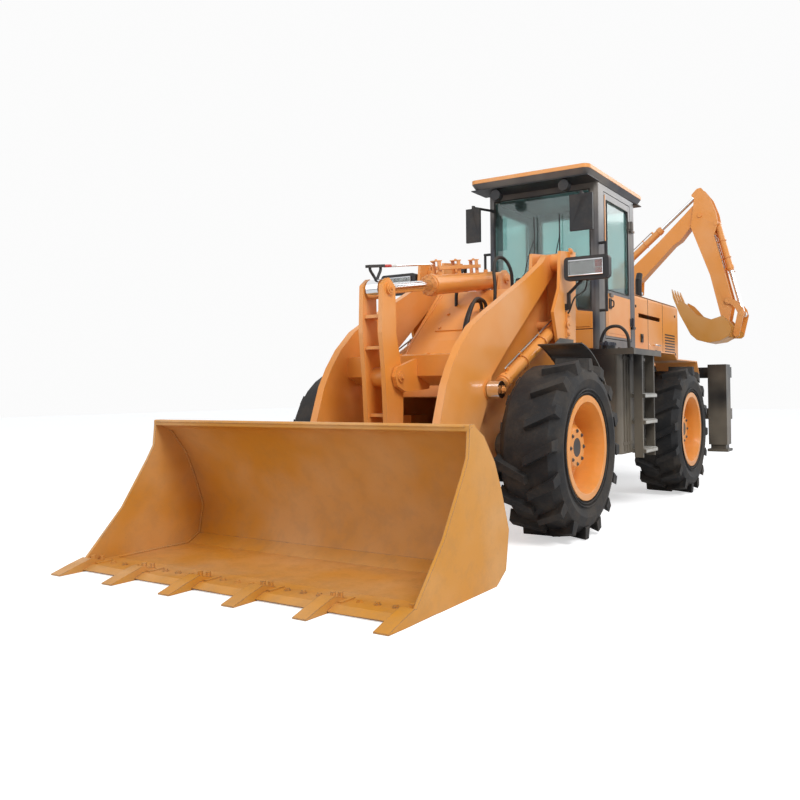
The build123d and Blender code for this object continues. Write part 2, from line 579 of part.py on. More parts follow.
# ------------------------------------------------------------------ rear frame
with BuildPart() as rear_frame:
    for side in (1, -1):
        plate(
            ((-60, 1100), (-300, 1180), (FRAME_REAR_X, 1180), (FRAME_REAR_X, REAR_FRAME_Z[0]),
             (-1700, REAR_FRAME_Z[0]), (-1500, 700), (-800, 700), (-600, REAR_FRAME_Z[0]), (-60, REAR_FRAME_Z[0])),
            *sided(side, *RAIL_Y),
        )
    inside = RAIL_Y[0] + 1
    block((-121, -80), (-inside, inside), (CHASSIS_LUG_Z[0] - LUG_THICK / 2 - CLEAR - 30, 1090))
    block((FRAME_REAR_X, FRAME_REAR_X + 40), (-inside, inside), (REAR_FRAME_Z[0], 1180))
    block((-700, -620), (-inside, inside), (REAR_FRAME_Z[0] + 40, 700))
    block((-1720, -1640), (-inside, inside), (REAR_FRAME_Z[0] + 40, 700))
    block((-2700, -1780), (-inside, inside), (REAR_FRAME_Z[0], REAR_FRAME_Z[0] + 20))
    # tongue of the articulation, forked above and below each front lug
    for lug_z in CHASSIS_LUG_Z:
        for rise in (-LUG_THICK / 2 - CLEAR - 30, LUG_THICK / 2 + CLEAR):
            with BuildSketch(Plane.XY.offset(lug_z + rise)) as lug:
                with BuildLine():
                    Polyline((-121, -301), (-121, 301), (PIVOT_X - 60, LUG_RADIUS), (PIVOT_X, LUG_RADIUS),
                             (PIVOT_X, -LUG_RADIUS), (PIVOT_X - 60, -LUG_RADIUS), close=True)
                make_face()
                with Locations((PIVOT_X, 0)):
                    Circle(LUG_RADIUS)
            extrude(lug.sketch, amount=30)
        bar((PIVOT_X, 0, lug_z - 120), (PIVOT_X, 0, lug_z + 120), HINGE_PIN_RADIUS + RUNNING_FIT, Mode.SUBTRACT)
    # cross beams that carry the cab and the hood
    for x, top in ((-300, CAB_FLOOR_Z), (-1060, CAB_FLOOR_Z), (-1230, 1180), (-2660, 1180)):
        block((x - 30, x + 30), (-470, 470), (1120, top))
    # axle saddle and the cross beams that carry the tanks
    for side in (1, -1):
        for x in (-270, -420):
            block((x - 30, x + 30), sided(side, RAIL_Y[1] - 1, TANK_IN_Y - SEAT_GAP), (1020, 1080))
        block((REAR_AXLE_X - 110, REAR_AXLE_X + 110), sided(side, 255, 301), (AXLE_Z + 70, AXLE_Z + 200))
    bar((REAR_AXLE_X, -400, AXLE_Z), (REAR_AXLE_X, 400, AXLE_Z), AXLE_ARM_RADIUS + SEAT_GAP, Mode.SUBTRACT)
    boss(TIE_REAR, -TOWER_OUT_Y, TOWER_OUT_Y, TIE_RADIUS, Mode.SUBTRACT)
finish(rear_frame, "rear_frame")

# ------------------------------------------------------------------ cab
CAB_MID_X = (CAB_FRONT_X + CAB_REAR_X) / 2
FRONT_WINDOW = ((-455, 1620), (-330, 1640), (-240, 1930), (240, 1930), (330, 1640), (455, 1620), (455, 2640), (-455, 2640))
REAR_WINDOW = ((-440, 1900), (440, 1900), (440, 2630), (-440, 2630))
with BuildPart() as cab_shell:
    block((CAB_REAR_X, CAB_FRONT_X), (-CAB_HALF, CAB_HALF), (CAB_FLOOR_Z, CAB_TOP_Z))
    fillet(cab_shell.edges().filter_by(Axis.Z), 40)
    block((CAB_REAR_X + CAB_WALL, CAB_FRONT_X - CAB_WALL), (-CAB_HALF + CAB_WALL, CAB_HALF - CAB_WALL),
          (CAB_FLOOR_Z + 40, CAB_TOP_Z + 1), Mode.SUBTRACT)
    for outline, x_low in ((FRONT_WINDOW, CAB_FRONT_X - CAB_WALL - 5), (REAR_WINDOW, CAB_REAR_X - 5)):
        with BuildSketch(Plane.YZ.offset(x_low)) as window:
            with BuildLine():
                FilletPolyline(*outline, radius=35, close=True)
            make_face()
        extrude(window.sketch, amount=CAB_WALL + 10, mode=Mode.SUBTRACT)
    block((DOOR_REAR_X - DOOR_GAP, DOOR_FRONT_X + DOOR_GAP), (-CAB_HALF - 5, CAB_HALF + 5),
          (DOOR_LOW_Z - DOOR_GAP, DOOR_HIGH_Z + DOOR_GAP), Mode.SUBTRACT)
    # hinge pins of the doors, each on a bracket below its knuckle
    for side in (1, -1):
        for z in DOOR_HINGE_Z:
            block((DOOR_REAR_X - 50, DOOR_REAR_X - DOOR_GAP), sided(side, CAB_HALF - 1, DOOR_HINGE_Y + 12), (z - 62, z - 40))
            block((DOOR_REAR_X - DOOR_GAP - 1, DOOR_REAR_X), sided(side, CAB_HALF + 4, DOOR_HINGE_Y + 12), (z - 62, z - 40))
            bar((DOOR_REAR_X, side * DOOR_HINGE_Y, z - 62), (DOOR_REAR_X, side * DOOR_HINGE_Y, z - 40), KNUCKLE_RADIUS - 2)
            bar((DOOR_REAR_X, side * DOOR_HINGE_Y, z - 50), (DOOR_REAR_X, side * DOOR_HINGE_Y, z + 42), DOOR_PIN_RADIUS)
finish(cab_shell, "cab_shell")

with BuildPart() as cab_roof:
    with BuildSketch(Plane.XY.offset(CAB_TOP_Z + SEAT_GAP)):
        with Locations(((ROOF_FRONT_X + ROOF_REAR_X) / 2, 0)):
            RectangleRounded(ROOF_FRONT_X - ROOF_REAR_X - 60, 2 * ROOF_HALF - 60, 60)
    with BuildSketch(Plane.XY.offset(ROOF_TOP_Z - 30)):
        with Locations(((ROOF_FRONT_X + ROOF_REAR_X) / 2, 0)):
            RectangleRounded(ROOF_FRONT_X - ROOF_REAR_X, 2 * ROOF_HALF, 60)
    loft()
    with BuildSketch(Plane.XY.offset(ROOF_TOP_Z - 30)) as lip:
        with Locations(((ROOF_FRONT_X + ROOF_REAR_X) / 2, 0)):
            RectangleRounded(ROOF_FRONT_X - ROOF_REAR_X, 2 * ROOF_HALF, 60)
    extrude(lip.sketch, amount=30)
finish(cab_roof, "cab_roof")

GLASS_SEAT = 8             # how far a pane reaches past the edge of its window
with BuildPart() as cab_glass:
    for outline, x_low in ((FRONT_WINDOW, CAB_FRONT_X - 30), (REAR_WINDOW, CAB_REAR_X + 24)):
        with BuildSketch(Plane.YZ.offset(x_low)) as window:
            with BuildLine():
                FilletPolyline(*outline, radius=35, close=True)
            make_face()
            offset(amount=-SEAT_GAP)
        extrude(window.sketch, amount=GLASS)
finish(cab_glass, "cab_glass")

for side, word in ((1, "left"), (-1, "right")):
    door_y = sided(side, CAB_HALF - DOOR_THICK, CAB_HALF)
    with BuildPart() as door:
        block((DOOR_REAR_X, DOOR_FRONT_X), door_y, (DOOR_LOW_Z, DOOR_HIGH_Z))
        plate(
            ((DOOR_REAR_X + 55, SILL_Z), (DOOR_FRONT_X - 55, SILL_Z), (DOOR_FRONT_X - 55, DOOR_HIGH_Z - 55),
             (DOOR_REAR_X + 55, DOOR_HIGH_Z - 55)), door_y[0] - 5, door_y[1] + 5, Mode.SUBTRACT, 35,
        )
        # hinge knuckles
        for z in DOOR_HINGE_Z:
            bar((DOOR_REAR_X, side * DOOR_HINGE_Y, z - 34), (DOOR_REAR_X, side * DOOR_HINGE_Y, z + 34), KNUCKLE_RADIUS)
            block((DOOR_REAR_X + 2, DOOR_REAR_X + 45), sided(side, CAB_HALF - 1, CAB_HALF + 12), (z - 34, z + 34))
            bar((DOOR_REAR_X, side * DOOR_HINGE_Y, z - 40), (DOOR_REAR_X, side * DOOR_HINGE_Y, z + 40),
                DOOR_PIN_RADIUS + RUNNING_FIT, Mode.SUBTRACT)
        # handle and latch
        block((DOOR_FRONT_X - 160, DOOR_FRONT_X - 90), sided(side, CAB_HALF - 1, CAB_HALF + 22), (1745, 1775))
    finish(door, f"door_{word}")
    with BuildPart() as pane:
        plate(
            ((DOOR_REAR_X + 55 + SEAT_GAP, SILL_Z + SEAT_GAP), (DOOR_FRONT_X - 55 - SEAT_GAP, SILL_Z + SEAT_GAP),
             (DOOR_FRONT_X - 55 - SEAT_GAP, DOOR_HIGH_Z - 55 - SEAT_GAP),
             (DOOR_REAR_X + 55 + SEAT_GAP, DOOR_HIGH_Z - 55 - SEAT_GAP)),
            *sided(side, CAB_HALF - 20, CAB_HALF - 20 + GLASS), radius=34,
        )
    finish(pane, f"door_glass_{word}")

SEAT_X = -760
with BuildPart() as seat:
    block((SEAT_X - 200, SEAT_X + 160), (-170, 170), (CAB_FLOOR_Z + 40 + SEAT_GAP, CAB_FLOOR_Z + 240))
    block((SEAT_X - 250, SEAT_X + 240), (-240, 240), (CAB_FLOOR_Z + 240, CAB_FLOOR_Z + 360))
    plate(((SEAT_X - 250, 1600), (SEAT_X - 130, 1600), (SEAT_X - 200, 2200), (SEAT_X - 290, 2200)), -230, 230, radius=30)
finish(seat, "seat")

with BuildPart() as console:
    plate(((-200, CAB_FLOOR_Z + 40.3), (-200, 1880), (-290, 1930), (-370, 1880), (-300, 1800), (-260, CAB_FLOOR_Z + 40.3)),
          -250, 250)
    bar((-320, 0, 1850), (-440, 0, 1960), 32)
    with BuildSketch(Plane(origin=(-440, 0, 1960), z_dir=(-0.74, 0, 0.68))) as wheel:
        Circle(190)
        Circle(168, mode=Mode.SUBTRACT)
        Rectangle(350, 28)
        Circle(50)
    extrude(wheel.sketch, amount=20)
finish(console, "console")

# ------------------------------------------------------------------ hood, engine, tanks, fenders
with BuildPart() as hood:
    block((HOOD_REAR_X, HOOD_FRONT_X), (-HOOD_HALF, HOOD_HALF), (HOOD_LOW_Z, HOOD_TOP_Z))
    fillet(hood.edges().filter_by(Axis.X).group_by(Axis.Z)[-1], 60)
    block((HOOD_REAR_X + HOOD_SHEET, HOOD_FRONT_X - HOOD_SHEET), (-HOOD_HALF + HOOD_SHEET, HOOD_HALF - HOOD_SHEET),
          (HOOD_LOW_Z - 1, HOOD_TOP_Z - HOOD_SHEET), Mode.SUBTRACT)
    block((-2040, -1330), (-HOOD_HALF - 5, HOOD_HALF + 5), (1640, 1680), Mode.SUBTRACT)
    for row in range(7):
        block((HOOD_REAR_X - 5, HOOD_REAR_X + HOOD_SHEET + 5), (-330, 330), (1330 + row * 60, 1352 + row * 60), Mode.SUBTRACT)
finish(hood, "hood")

with BuildPart() as engine:
    block((-2350, -1300), (-260, 260), (REAR_FRAME_Z[0] + 160, 1560))
    # feet that rest against the rails
    for x in (-2220, -1470):
        block((x - 40, x + 40), (-RAIL_Y[0] + SEAT_GAP, RAIL_Y[0] - SEAT_GAP), (900, 960))
    bar((-1350, 0, AXLE_Z + 300), (-730, 0, AXLE_Z + 300), 100)
finish(engine, "engine")

for side, word in ((1, "left"), (-1, "right")):
    with BuildPart() as tank:
        limits = sided(side, TANK_IN_Y, TANK_OUT_Y - 110)
        block((TANK_REAR_X, TANK_FRONT_X), limits, (TANK_LOW_Z + 40, TANK_TOP_Z))
        fillet(tank.edges().filter_by(Axis.Z), 45)
        block((TANK_REAR_X, TANK_FRONT_X), sided(side, 545, TANK_OUT_Y), (TANK_TOP_Z - 1, TANK_TOP_Z + 11))
        # step frame: two uprights and three treads
        for x in (-30, -330):
            block((x - 12, x + 12), sided(side, TANK_OUT_Y - 90, TANK_OUT_Y - 20), (TANK_LOW_Z, TANK_TOP_Z))
        for z in (890, 680, 450):
            block((-335, -25), sided(side, TANK_OUT_Y - 111, TANK_OUT_Y), (z - 15, z + 15))
        bar((120, side * 700, TANK_TOP_Z), (120, side * 700, TANK_TOP_Z + 40), 60)
    finish(tank, f"tank_{word}")

with BuildPart() as rear_fenders:
    for side in (1, -1):
        plate(
            ((TANK_REAR_X - SEAT_GAP, 1250), (-920, 1250), (-1000, 1200), (-1700, 1200), (-1790, 1060), (-1798, 1064),
             (-1706, 1212), (-1004, 1212), (-916, 1262), (TANK_REAR_X - SEAT_GAP, 1262)),
            *sided(side, CAB_HALF + SEAT_GAP, 940),
        )
finish(rear_fenders, "rear_fenders")

with BuildPart() as mirrors:
    for side, low, high in ((1, 370, 570), (-1, 480, 620)):
        block((60, 85), sided(side, low, high), (2250, 2550))
        middle = side * (low + high) / 2
        bar((72, middle, 2500), (72, middle, 2575), 15)
        bar((72, middle, 2560), (-122, side * 470, 2560), 11)
        bar((CAB_FRONT_X + SEAT_GAP, side * 470, 2560), (-110, side * 470, 2560), 14)
finish(mirrors, "mirrors")

with BuildPart() as cab_fittings:
    for side in (1, -1):
        # work lamps under the roof's front corners
        bar((30, side * 320, 2640), (95, side * 320, 2640), 46)
        block((50, 80), (side * 320 - 10, side * 320 + 10), (2640, CAB_TOP_Z))
        # grab rails beside the doors
        bar((-190, side * (CAB_HALF + SEAT_GAP), 2180), (-190, side * (CAB_HALF + 70), 2180), 12)
        bar((-190, side * (CAB_HALF + SEAT_GAP), 1610), (-190, side * (CAB_HALF + 70), 1610), 12)
        bar((-190, side * (CAB_HALF + 60), 1600), (-190, side * (CAB_HALF + 60), 2190), 12)
finish(cab_fittings, "cab_fittings")

# ------------------------------------------------------------------ backhoe: slide frame, carriage, legs
RAIL_Z = ((1060, 1180), (600, 720))
with BuildPart() as slide_frame:
    for low, high in RAIL_Z:
        block(SLIDE_X, (-SLIDE_HALF, SLIDE_HALF), (low, high))
    for y in (-320, 320):
        block((SLIDE_X[1] - 1, FRAME_REAR_X - SEAT_GAP), (y - 40, y + 40), (620, 1160))
    for y in (-300, 0, 300):
        block(SLIDE_X, (y - 15, y + 15), (719, 1061))
    for side in (1, -1):
        limits = sided(side, *LEG_Y)
        block(LEG_X, limits, (LEG_LOW_Z, LEG_TOP_Z))
        block((LEG_X[0] + LEG_WALL, LEG_X[1] - LEG_WALL), (limits[0] + LEG_WALL, limits[1] - LEG_WALL),
              (LEG_LOW_Z - 1, LEG_TOP_Z - LEG_WALL), Mode.SUBTRACT)
finish(slide_frame, "slide_frame")

for side, word in ((1, "left"), (-1, "right")):
    limits = sided(side, *LEG_Y)
    with BuildPart() as leg:
        inset = LEG_WALL + LEG_GAP
        block((LEG_X[0] + inset, LEG_X[1] - inset), (limits[0] + inset, limits[1] - inset), (280, LEG_TOP_Z - 200))
        block((LEG_X[0] - 20, LEG_X[1] + 20), (limits[0] - 10, limits[1] + 10), (255, 285))
        # wear pads that slide in the housing
        pad = LEG_WALL + SEAT_GAP
        block((LEG_X[0] + 50, LEG_X[1] - 50), (limits[0] + pad, limits[1] - pad), (LEG_TOP_Z - 280, LEG_TOP_Z - 220))
    finish(leg, f"leg_{word}")

with BuildPart() as carriage:
    y_limits = (CARRIAGE_Y - 210, CARRIAGE_Y + 210)
    block((SLIDE_X[0] - 60, SLIDE_X[0] - 5), y_limits, (560, 1225))
    block((SLIDE_X[0] - 60, SLIDE_X[1] - 30), y_limits, (1180 + SEAT_GAP, 1225))
    block((SLIDE_X[0] - 60, SLIDE_X[1] - 30), y_limits, (560, 600 - SEAT_GAP))
    for z in (640, 1020):
        with BuildSketch(Plane.XY.offset(z)) as ear:
            with BuildLine():
                Polyline((SLIDE_X[0] - 59, CARRIAGE_Y - 120), (SLIDE_X[0] - 59, CARRIAGE_Y + 120),
                         (HOE_X, CARRIAGE_Y + 75), (HOE_X, CARRIAGE_Y - 75), close=True)
            make_face()
            with Locations((HOE_X, CARRIAGE_Y)):
                Circle(75)
        extrude(ear.sketch, amount=45)
        bar((HOE_X, CARRIAGE_Y, z - 50), (HOE_X, CARRIAGE_Y, z + 90), 45 + RUNNING_FIT, Mode.SUBTRACT)
finish(carriage, "carriage")

with BuildPart() as kingpost:
    bar((HOE_X, SWING_Y, 600), (HOE_X, SWING_Y, 1085), 45)
    block((HOE_X - 82, HOE_X + 82), (SWING_Y - 75, SWING_Y + 75), (685 + CLEAR, 1020 - CLEAR))
    for side in (1, -1):
        low, high = (BOOM_HALF + CLEAR, BOOM_HALF + CLEAR + 25) if side > 0 else (-BOOM_HALF - CLEAR - 25, -BOOM_HALF - CLEAR)
        hoe_plate(
            ((SWING_Y + 20, 700), (BOOM_CYL_BASE[0] - 30, 780), (BOOM_CYL_BASE[0] + 50, 840),
             (BOOM_CYL_BASE[0], 910), (BOOM_FOOT[0] + 65, 1180), (BOOM_FOOT[0], 1245), (BOOM_FOOT[0] - 60, 1200),
             (SWING_Y + 100, 1110), (SWING_Y + 100, 1006), (SWING_Y + 20, 1006)), low, high, radius=10,
        )
    hoe_boss(BOOM_FOOT, -BOOM_HALF - CLEAR - 35, BOOM_HALF + CLEAR + 35, HOE_PIN_RADIUS)
    hoe_boss(BOOM_CYL_BASE, -BOOM_HALF - CLEAR - 35, BOOM_HALF + CLEAR + 35, HOE_PIN_RADIUS)
finish(kingpost, "kingpost")

BOOM_OUTLINE = (
    (-620, 1110), (-550, 1160), (-510, 1500), (-440, 1880), (-330, 2070), (-212, 2199), (267, 2671),
    (352, 2723), (470, 2860), (560, 2900), (640, 2940), (650, 3010), (600, 3060), (514, 3130),
    (400, 3020), (90, 2730), (-215, 2475), (-480, 2250), (-600, 2000), (-670, 1600), (-690, 1180),
)
with BuildPart() as boom:
    hoe_plate(BOOM_OUTLINE, -BOOM_HALF, BOOM_HALF, radius=25)
    hoe_boss(BOOM_FOOT, -BOOM_HALF - 20, BOOM_HALF + 20, HOE_PIN_RADIUS + RUNNING_FIT, Mode.SUBTRACT)
    for low in (-70, 52):
        hoe_plate(((-290, 2150), (-200, 2090), (-150, 2110), (-140, 2290)), low, low + 18)
        hoe_plate(((-520, 2200), (-380, 2330), (-435, 2450), (-505, 2450)), low, low + 18)
    hoe_boss(ELBOW, -DIPPER_HALF - 12, DIPPER_HALF + 12, HOE_PIN_RADIUS)
    hoe_boss(DIPPER_CYL_BASE, -80, 80, HOE_PIN_RADIUS)
finish(boom, "boom")

DIPPER_OUTLINE = (
    (528, 3200), (490, 3240), (560, 3310), (611, 3320), (713, 3182), (779, 3008), (800, 2888), (752, 2740),
    (837, 2414), (950, 1950), (900, 1690), (860, 1670), (830, 1720), (700, 2273), (480, 2870), (500, 2990),
)
with BuildPart() as dipper:
    for low, high in ((-DIPPER_HALF, -BOOM_HALF - 5), (BOOM_HALF + 5, DIPPER_HALF)):
        hoe_plate(DIPPER_OUTLINE, low, high, radius=20)
    hoe_plate(((560, 2760), (720, 2740), (820, 2414), (930, 1950), (840, 1780), (720, 2273)),
              -BOOM_HALF - 6, BOOM_HALF + 6)
    hoe_boss(ELBOW, -DIPPER_HALF - 30, DIPPER_HALF + 30, HOE_PIN_RADIUS + RUNNING_FIT, Mode.SUBTRACT)
    hoe_boss(LEVER_PIVOT, -DIPPER_HALF - 30, DIPPER_HALF + 30, HOE_PIN_RADIUS)
    hoe_boss(HOE_BUCKET_PIN, -DIPPER_HALF - 30, DIPPER_HALF + 30, HOE_PIN_RADIUS)
    hoe_boss(BUCKET_CYL_BASE, -DIPPER_HALF - 8, DIPPER_HALF + 8, HOE_PIN_RADIUS)
finish(dipper, "dipper")

HOE_SIDE = (
    (860, 1782), (920, 1700), (950, 1630), (945, 1590), (925, 1545), (820, 1490), (683, 1474), (560, 1510),
    (487, 1576), (361, 1821), (330, 1900), (360, 1990), (440, 1940), (550, 1811), (722, 1742),
)
HOE_SHELL = (
    (925, 1545), (820, 1490), (683, 1474), (560, 1510), (487, 1576), (361, 1821), (290, 2010),
    (305, 2015), (376, 1826), (500, 1586), (568, 1524), (684, 1489), (814, 1505), (917, 1558),
)
with BuildPart() as hoe_bucket:
    hoe_plate(HOE_SHELL, -HOE_BUCKET_HALF + 1, HOE_BUCKET_HALF - 1)
    for low in (-HOE_BUCKET_HALF, HOE_BUCKET_HALF - 14):
        hoe_plate(HOE_SIDE, low, low + 14)
    for low in (-DIPPER_HALF - CLEAR - 22, DIPPER_HALF + CLEAR):
        hoe_plate(((815, 1700), (865, 1762), (920, 1720), (1020, 1585), (1025, 1545), (990, 1525), (900, 1530), (830, 1495)),
                  low, low + 22, radius=8)
    for index in range(4):
        low = -HOE_BUCKET_HALF + index * (2 * HOE_BUCKET_HALF - 50) / 3
        hoe_plate(((330, 1900), (285, 2020), (270, 2127), (310, 2030), (350, 1910)), low, low + 50)
    hoe_boss(HOE_BUCKET_PIN, -DIPPER_HALF - 40, DIPPER_HALF + 40, HOE_PIN_RADIUS + RUNNING_FIT, Mode.SUBTRACT)
finish(hoe_bucket, "hoe_bucket")

with BuildPart() as hoe_lever:
    for low in (-DIPPER_HALF - 26, DIPPER_HALF + 6):
        hoe_plate(((860, 1975), (895, 1998), (1000, 1950), (1070, 1860), (1084, 1795), (1050, 1765), (1016, 1800),
                   (985, 1860), (930, 1920), (880, 1924)), low, low + 20, radius=8)
    hoe_boss(LEVER_PIVOT, -200, 200, HOE_PIN_RADIUS + RUNNING_FIT, Mode.SUBTRACT)
    for low, high in ((-DIPPER_HALF - 50, -DIPPER_HALF - 7), (DIPPER_HALF + 7, DIPPER_HALF + 50)):
        hoe_boss(LEVER_PIN, low, high, HOE_PIN_RADIUS)
finish(hoe_lever, "hoe_lever")

with BuildPart() as hoe_link:
    for low in (-DIPPER_HALF - 50, DIPPER_HALF + 30):
        hoe_plate(((1012, 1810), (1050, 1838), (1085, 1800), (1024, 1550), (990, 1524), (956, 1562)), low, low + 18, radius=8)
    hoe_boss(LEVER_PIN, -200, 200, HOE_PIN_RADIUS + RUNNING_FIT, Mode.SUBTRACT)
    for low in (-DIPPER_HALF - 56, DIPPER_HALF + 47):
        hoe_boss(HOE_LINK_PIN, low, low + 9, HOE_PIN_RADIUS)
finish(hoe_link, "hoe_link")

HOE_CYLINDERS = (          # name, base, tip, barrel length, rod length, barrel radius
    ("boom_cyl", BOOM_CYL_BASE, BOOM_LUG, 720, 700, 45),
    ("dipper_cyl", DIPPER_CYL_BASE, HORN_PIN, 760, 600, 41),
    ("bucket_cyl", BUCKET_CYL_BASE, LEVER_PIN, 577, 600, 38),
)
for name, base, tip, barrel_length, rod_length, radius in HOE_CYLINDERS:
    base = (HOE_X, *base)
    tip = (HOE_X, *tip)
    barrel, rod = cylinder_parts(base, tip, barrel_length, radius, 25, rod_length, (40, 40, 36, (1, 0, 0)))
    with barrel:
        bored(barrel, base, (1, 0, 0), HOE_PIN_RADIUS)
    finish(barrel, f"{name}_barrel")
    finish(rod, f"{name}_rod")
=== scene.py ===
"""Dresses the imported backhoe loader: finishes, small parts, stage and camera.

Metres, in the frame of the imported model: +X forward, +Y to the machine's left, +Z up.
"""
import json
import math

import bmesh
import bpy
from bpy.props import FloatProperty, FloatVectorProperty, PointerProperty
from bpy.types import Operator, Panel, PropertyGroup
from mathutils import Matrix, Vector


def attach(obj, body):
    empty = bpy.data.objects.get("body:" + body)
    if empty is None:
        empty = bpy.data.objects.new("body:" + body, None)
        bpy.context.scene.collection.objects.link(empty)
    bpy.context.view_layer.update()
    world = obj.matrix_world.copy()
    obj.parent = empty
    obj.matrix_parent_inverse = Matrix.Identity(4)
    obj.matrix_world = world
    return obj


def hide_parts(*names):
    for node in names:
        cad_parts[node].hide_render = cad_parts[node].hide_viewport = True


bl_info = {
    "name": "Backhoe loader dressing",
    "version": (1, 0, 0),
    "blender": (4, 5, 0),
    "location": "View3D > Sidebar > Loader",
    "description": "Finishes and small parts for an articulated backhoe loader",
    "category": "Object",
}

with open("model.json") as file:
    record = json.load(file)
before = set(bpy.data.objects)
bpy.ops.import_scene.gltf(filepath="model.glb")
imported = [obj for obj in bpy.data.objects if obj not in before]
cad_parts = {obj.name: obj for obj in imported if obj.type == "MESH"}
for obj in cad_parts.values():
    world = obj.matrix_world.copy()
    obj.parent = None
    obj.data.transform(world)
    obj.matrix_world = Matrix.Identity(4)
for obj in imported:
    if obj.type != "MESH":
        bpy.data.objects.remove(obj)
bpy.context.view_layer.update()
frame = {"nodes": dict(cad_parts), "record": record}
BODY_OF = {node: body for body, nodes in frame["record"]["behaviour"]["bodies"].items() for node in nodes}
LEFT, RIGHT = 1, -1
SIDES = ((LEFT, "left"), (RIGHT, "right"))


# ---------------------------------------------------------------- settings
class PaintSettings(PropertyGroup):
    """Colours of the machine's finishes."""

    orange: FloatVectorProperty(name="Orange", description="Machine paint", subtype="COLOR", size=3,
                                default=(0.77, 0.285, 0.045), min=0, max=1)
    ochre: FloatVectorProperty(name="Ochre", description="Faded paint of the buckets", subtype="COLOR", size=3,
                               default=(0.60, 0.255, 0.03), min=0, max=1)
    black: FloatVectorProperty(name="Black", description="Black chassis paint", subtype="COLOR", size=3,
                               default=(0.010, 0.011, 0.013), min=0, max=1)
    cab: FloatVectorProperty(name="Cab", description="Dark paint of the cab's posts", subtype="COLOR", size=3,
                             default=(0.012, 0.017, 0.032), min=0, max=1)
    rubber: FloatVectorProperty(name="Rubber", description="Tyre rubber", subtype="COLOR", size=3,
                                default=(0.011, 0.011, 0.012), min=0, max=1)
    dust: FloatVectorProperty(name="Dust", description="Dried soil", subtype="COLOR", size=3,
                              default=(0.23, 0.17, 0.11), min=0, max=1)
    glass: FloatVectorProperty(name="Glass", description="Tint of the panes", subtype="COLOR", size=3,
                               default=(0.45, 0.66, 0.64), min=0, max=1)


class SizeSettings(PropertyGroup):
    """Sizes of the small parts that a user would change."""

    edge: FloatProperty(name="Edge", description="Radius of the rounded edges of plates", unit="LENGTH",
                        default=0.003, min=0.0005, max=0.01)
    bolt: FloatProperty(name="Bolt", description="Radius of the head of a large bolt", unit="LENGTH",
                        default=0.014, min=0.005, max=0.04)
    hose: FloatProperty(name="Hose", description="Radius of a hydraulic hose", unit="LENGTH",
                        default=0.013, min=0.005, max=0.03)


def paint():
    return bpy.context.scene.loader_paint


def sizes():
    return bpy.context.scene.loader_sizes


# ---------------------------------------------------------------- shader groups
FADE_AMOUNT = 0.18
FADED_TINT = (0.9, 0.75, 0.55)
GRAIN_TINT = (0.10, 0.10, 0.10)
FILM_TINT = (0.75, 0.78, 0.72)      # dust on a pane
DUST_TOP_Z = 1.5                    # paint is dusty below this height


def new_group(name, inputs, outputs):
    """A shader group, its inputs given with their defaults: a tuple makes a colour."""
    group = bpy.data.node_groups.new(name, "ShaderNodeTree")
    for key, default in inputs.items():
        kind = "NodeSocketColor" if isinstance(default, tuple) else "NodeSocketFloat"
        group.interface.new_socket(name=key, in_out="INPUT", socket_type=kind).default_value = default
    for key in outputs:
        kind = "NodeSocketColor" if key == "Color" else "NodeSocketFloat"
        group.interface.new_socket(name=key, in_out="OUTPUT", socket_type=kind)
    return group


def link(tree, source, out_name, target, in_name):
    tree.links.new(source.outputs[out_name], target.inputs[in_name])


def node(tree, kind, **values):
    """A node with its plain inputs set by name."""
    made = tree.nodes.new(kind)
    for key, value in values.items():
        made.inputs[key.replace("_", " ")].default_value = value
    return made


def noise(tree, coords, scale, detail=4.0, roughness=0.55):
    made = node(tree, "ShaderNodeTexNoise", Scale=scale, Detail=detail, Roughness=roughness)
    tree.links.new(coords, made.inputs["Vector"])
    return made


def ramp(tree, value, low, high):
    """A mask that rises from 0 at low to 1 at high."""
    made = node(tree, "ShaderNodeMapRange", From_Min=low, From_Max=high)
    made.interpolation_type = "SMOOTHSTEP"
    tree.links.new(value, made.inputs["Value"])
    return made.outputs["Result"]


def calc(tree, operation, first, second):
    """Clamped arithmetic; each value is a socket or a number."""
    made = tree.nodes.new("ShaderNodeMath")
    made.operation = operation
    made.use_clamp = True
    for socket, value in zip(made.inputs, (first, second)):
        if isinstance(value, (int, float)):
            socket.default_value = value
        else:
            tree.links.new(value, socket)
    return made.outputs[0]


def times(tree, first, second):
    return calc(tree, "MULTIPLY", first, second)


def plus(tree, first, second):
    return calc(tree, "ADD", first, second)


def mixed(tree, factor, first, second):
    """Colour mix; each colour is a socket or a tuple."""
    made = tree.nodes.new("ShaderNodeMix")
    made.data_type = "RGBA"
    for socket, value in ((made.inputs[0], factor), (made.inputs[6], first), (made.inputs[7], second)):
        if isinstance(value, bpy.types.NodeSocket):
            tree.links.new(value, socket)
        else:
            socket.default_value = (*value, 1)
    return made.outputs[2]


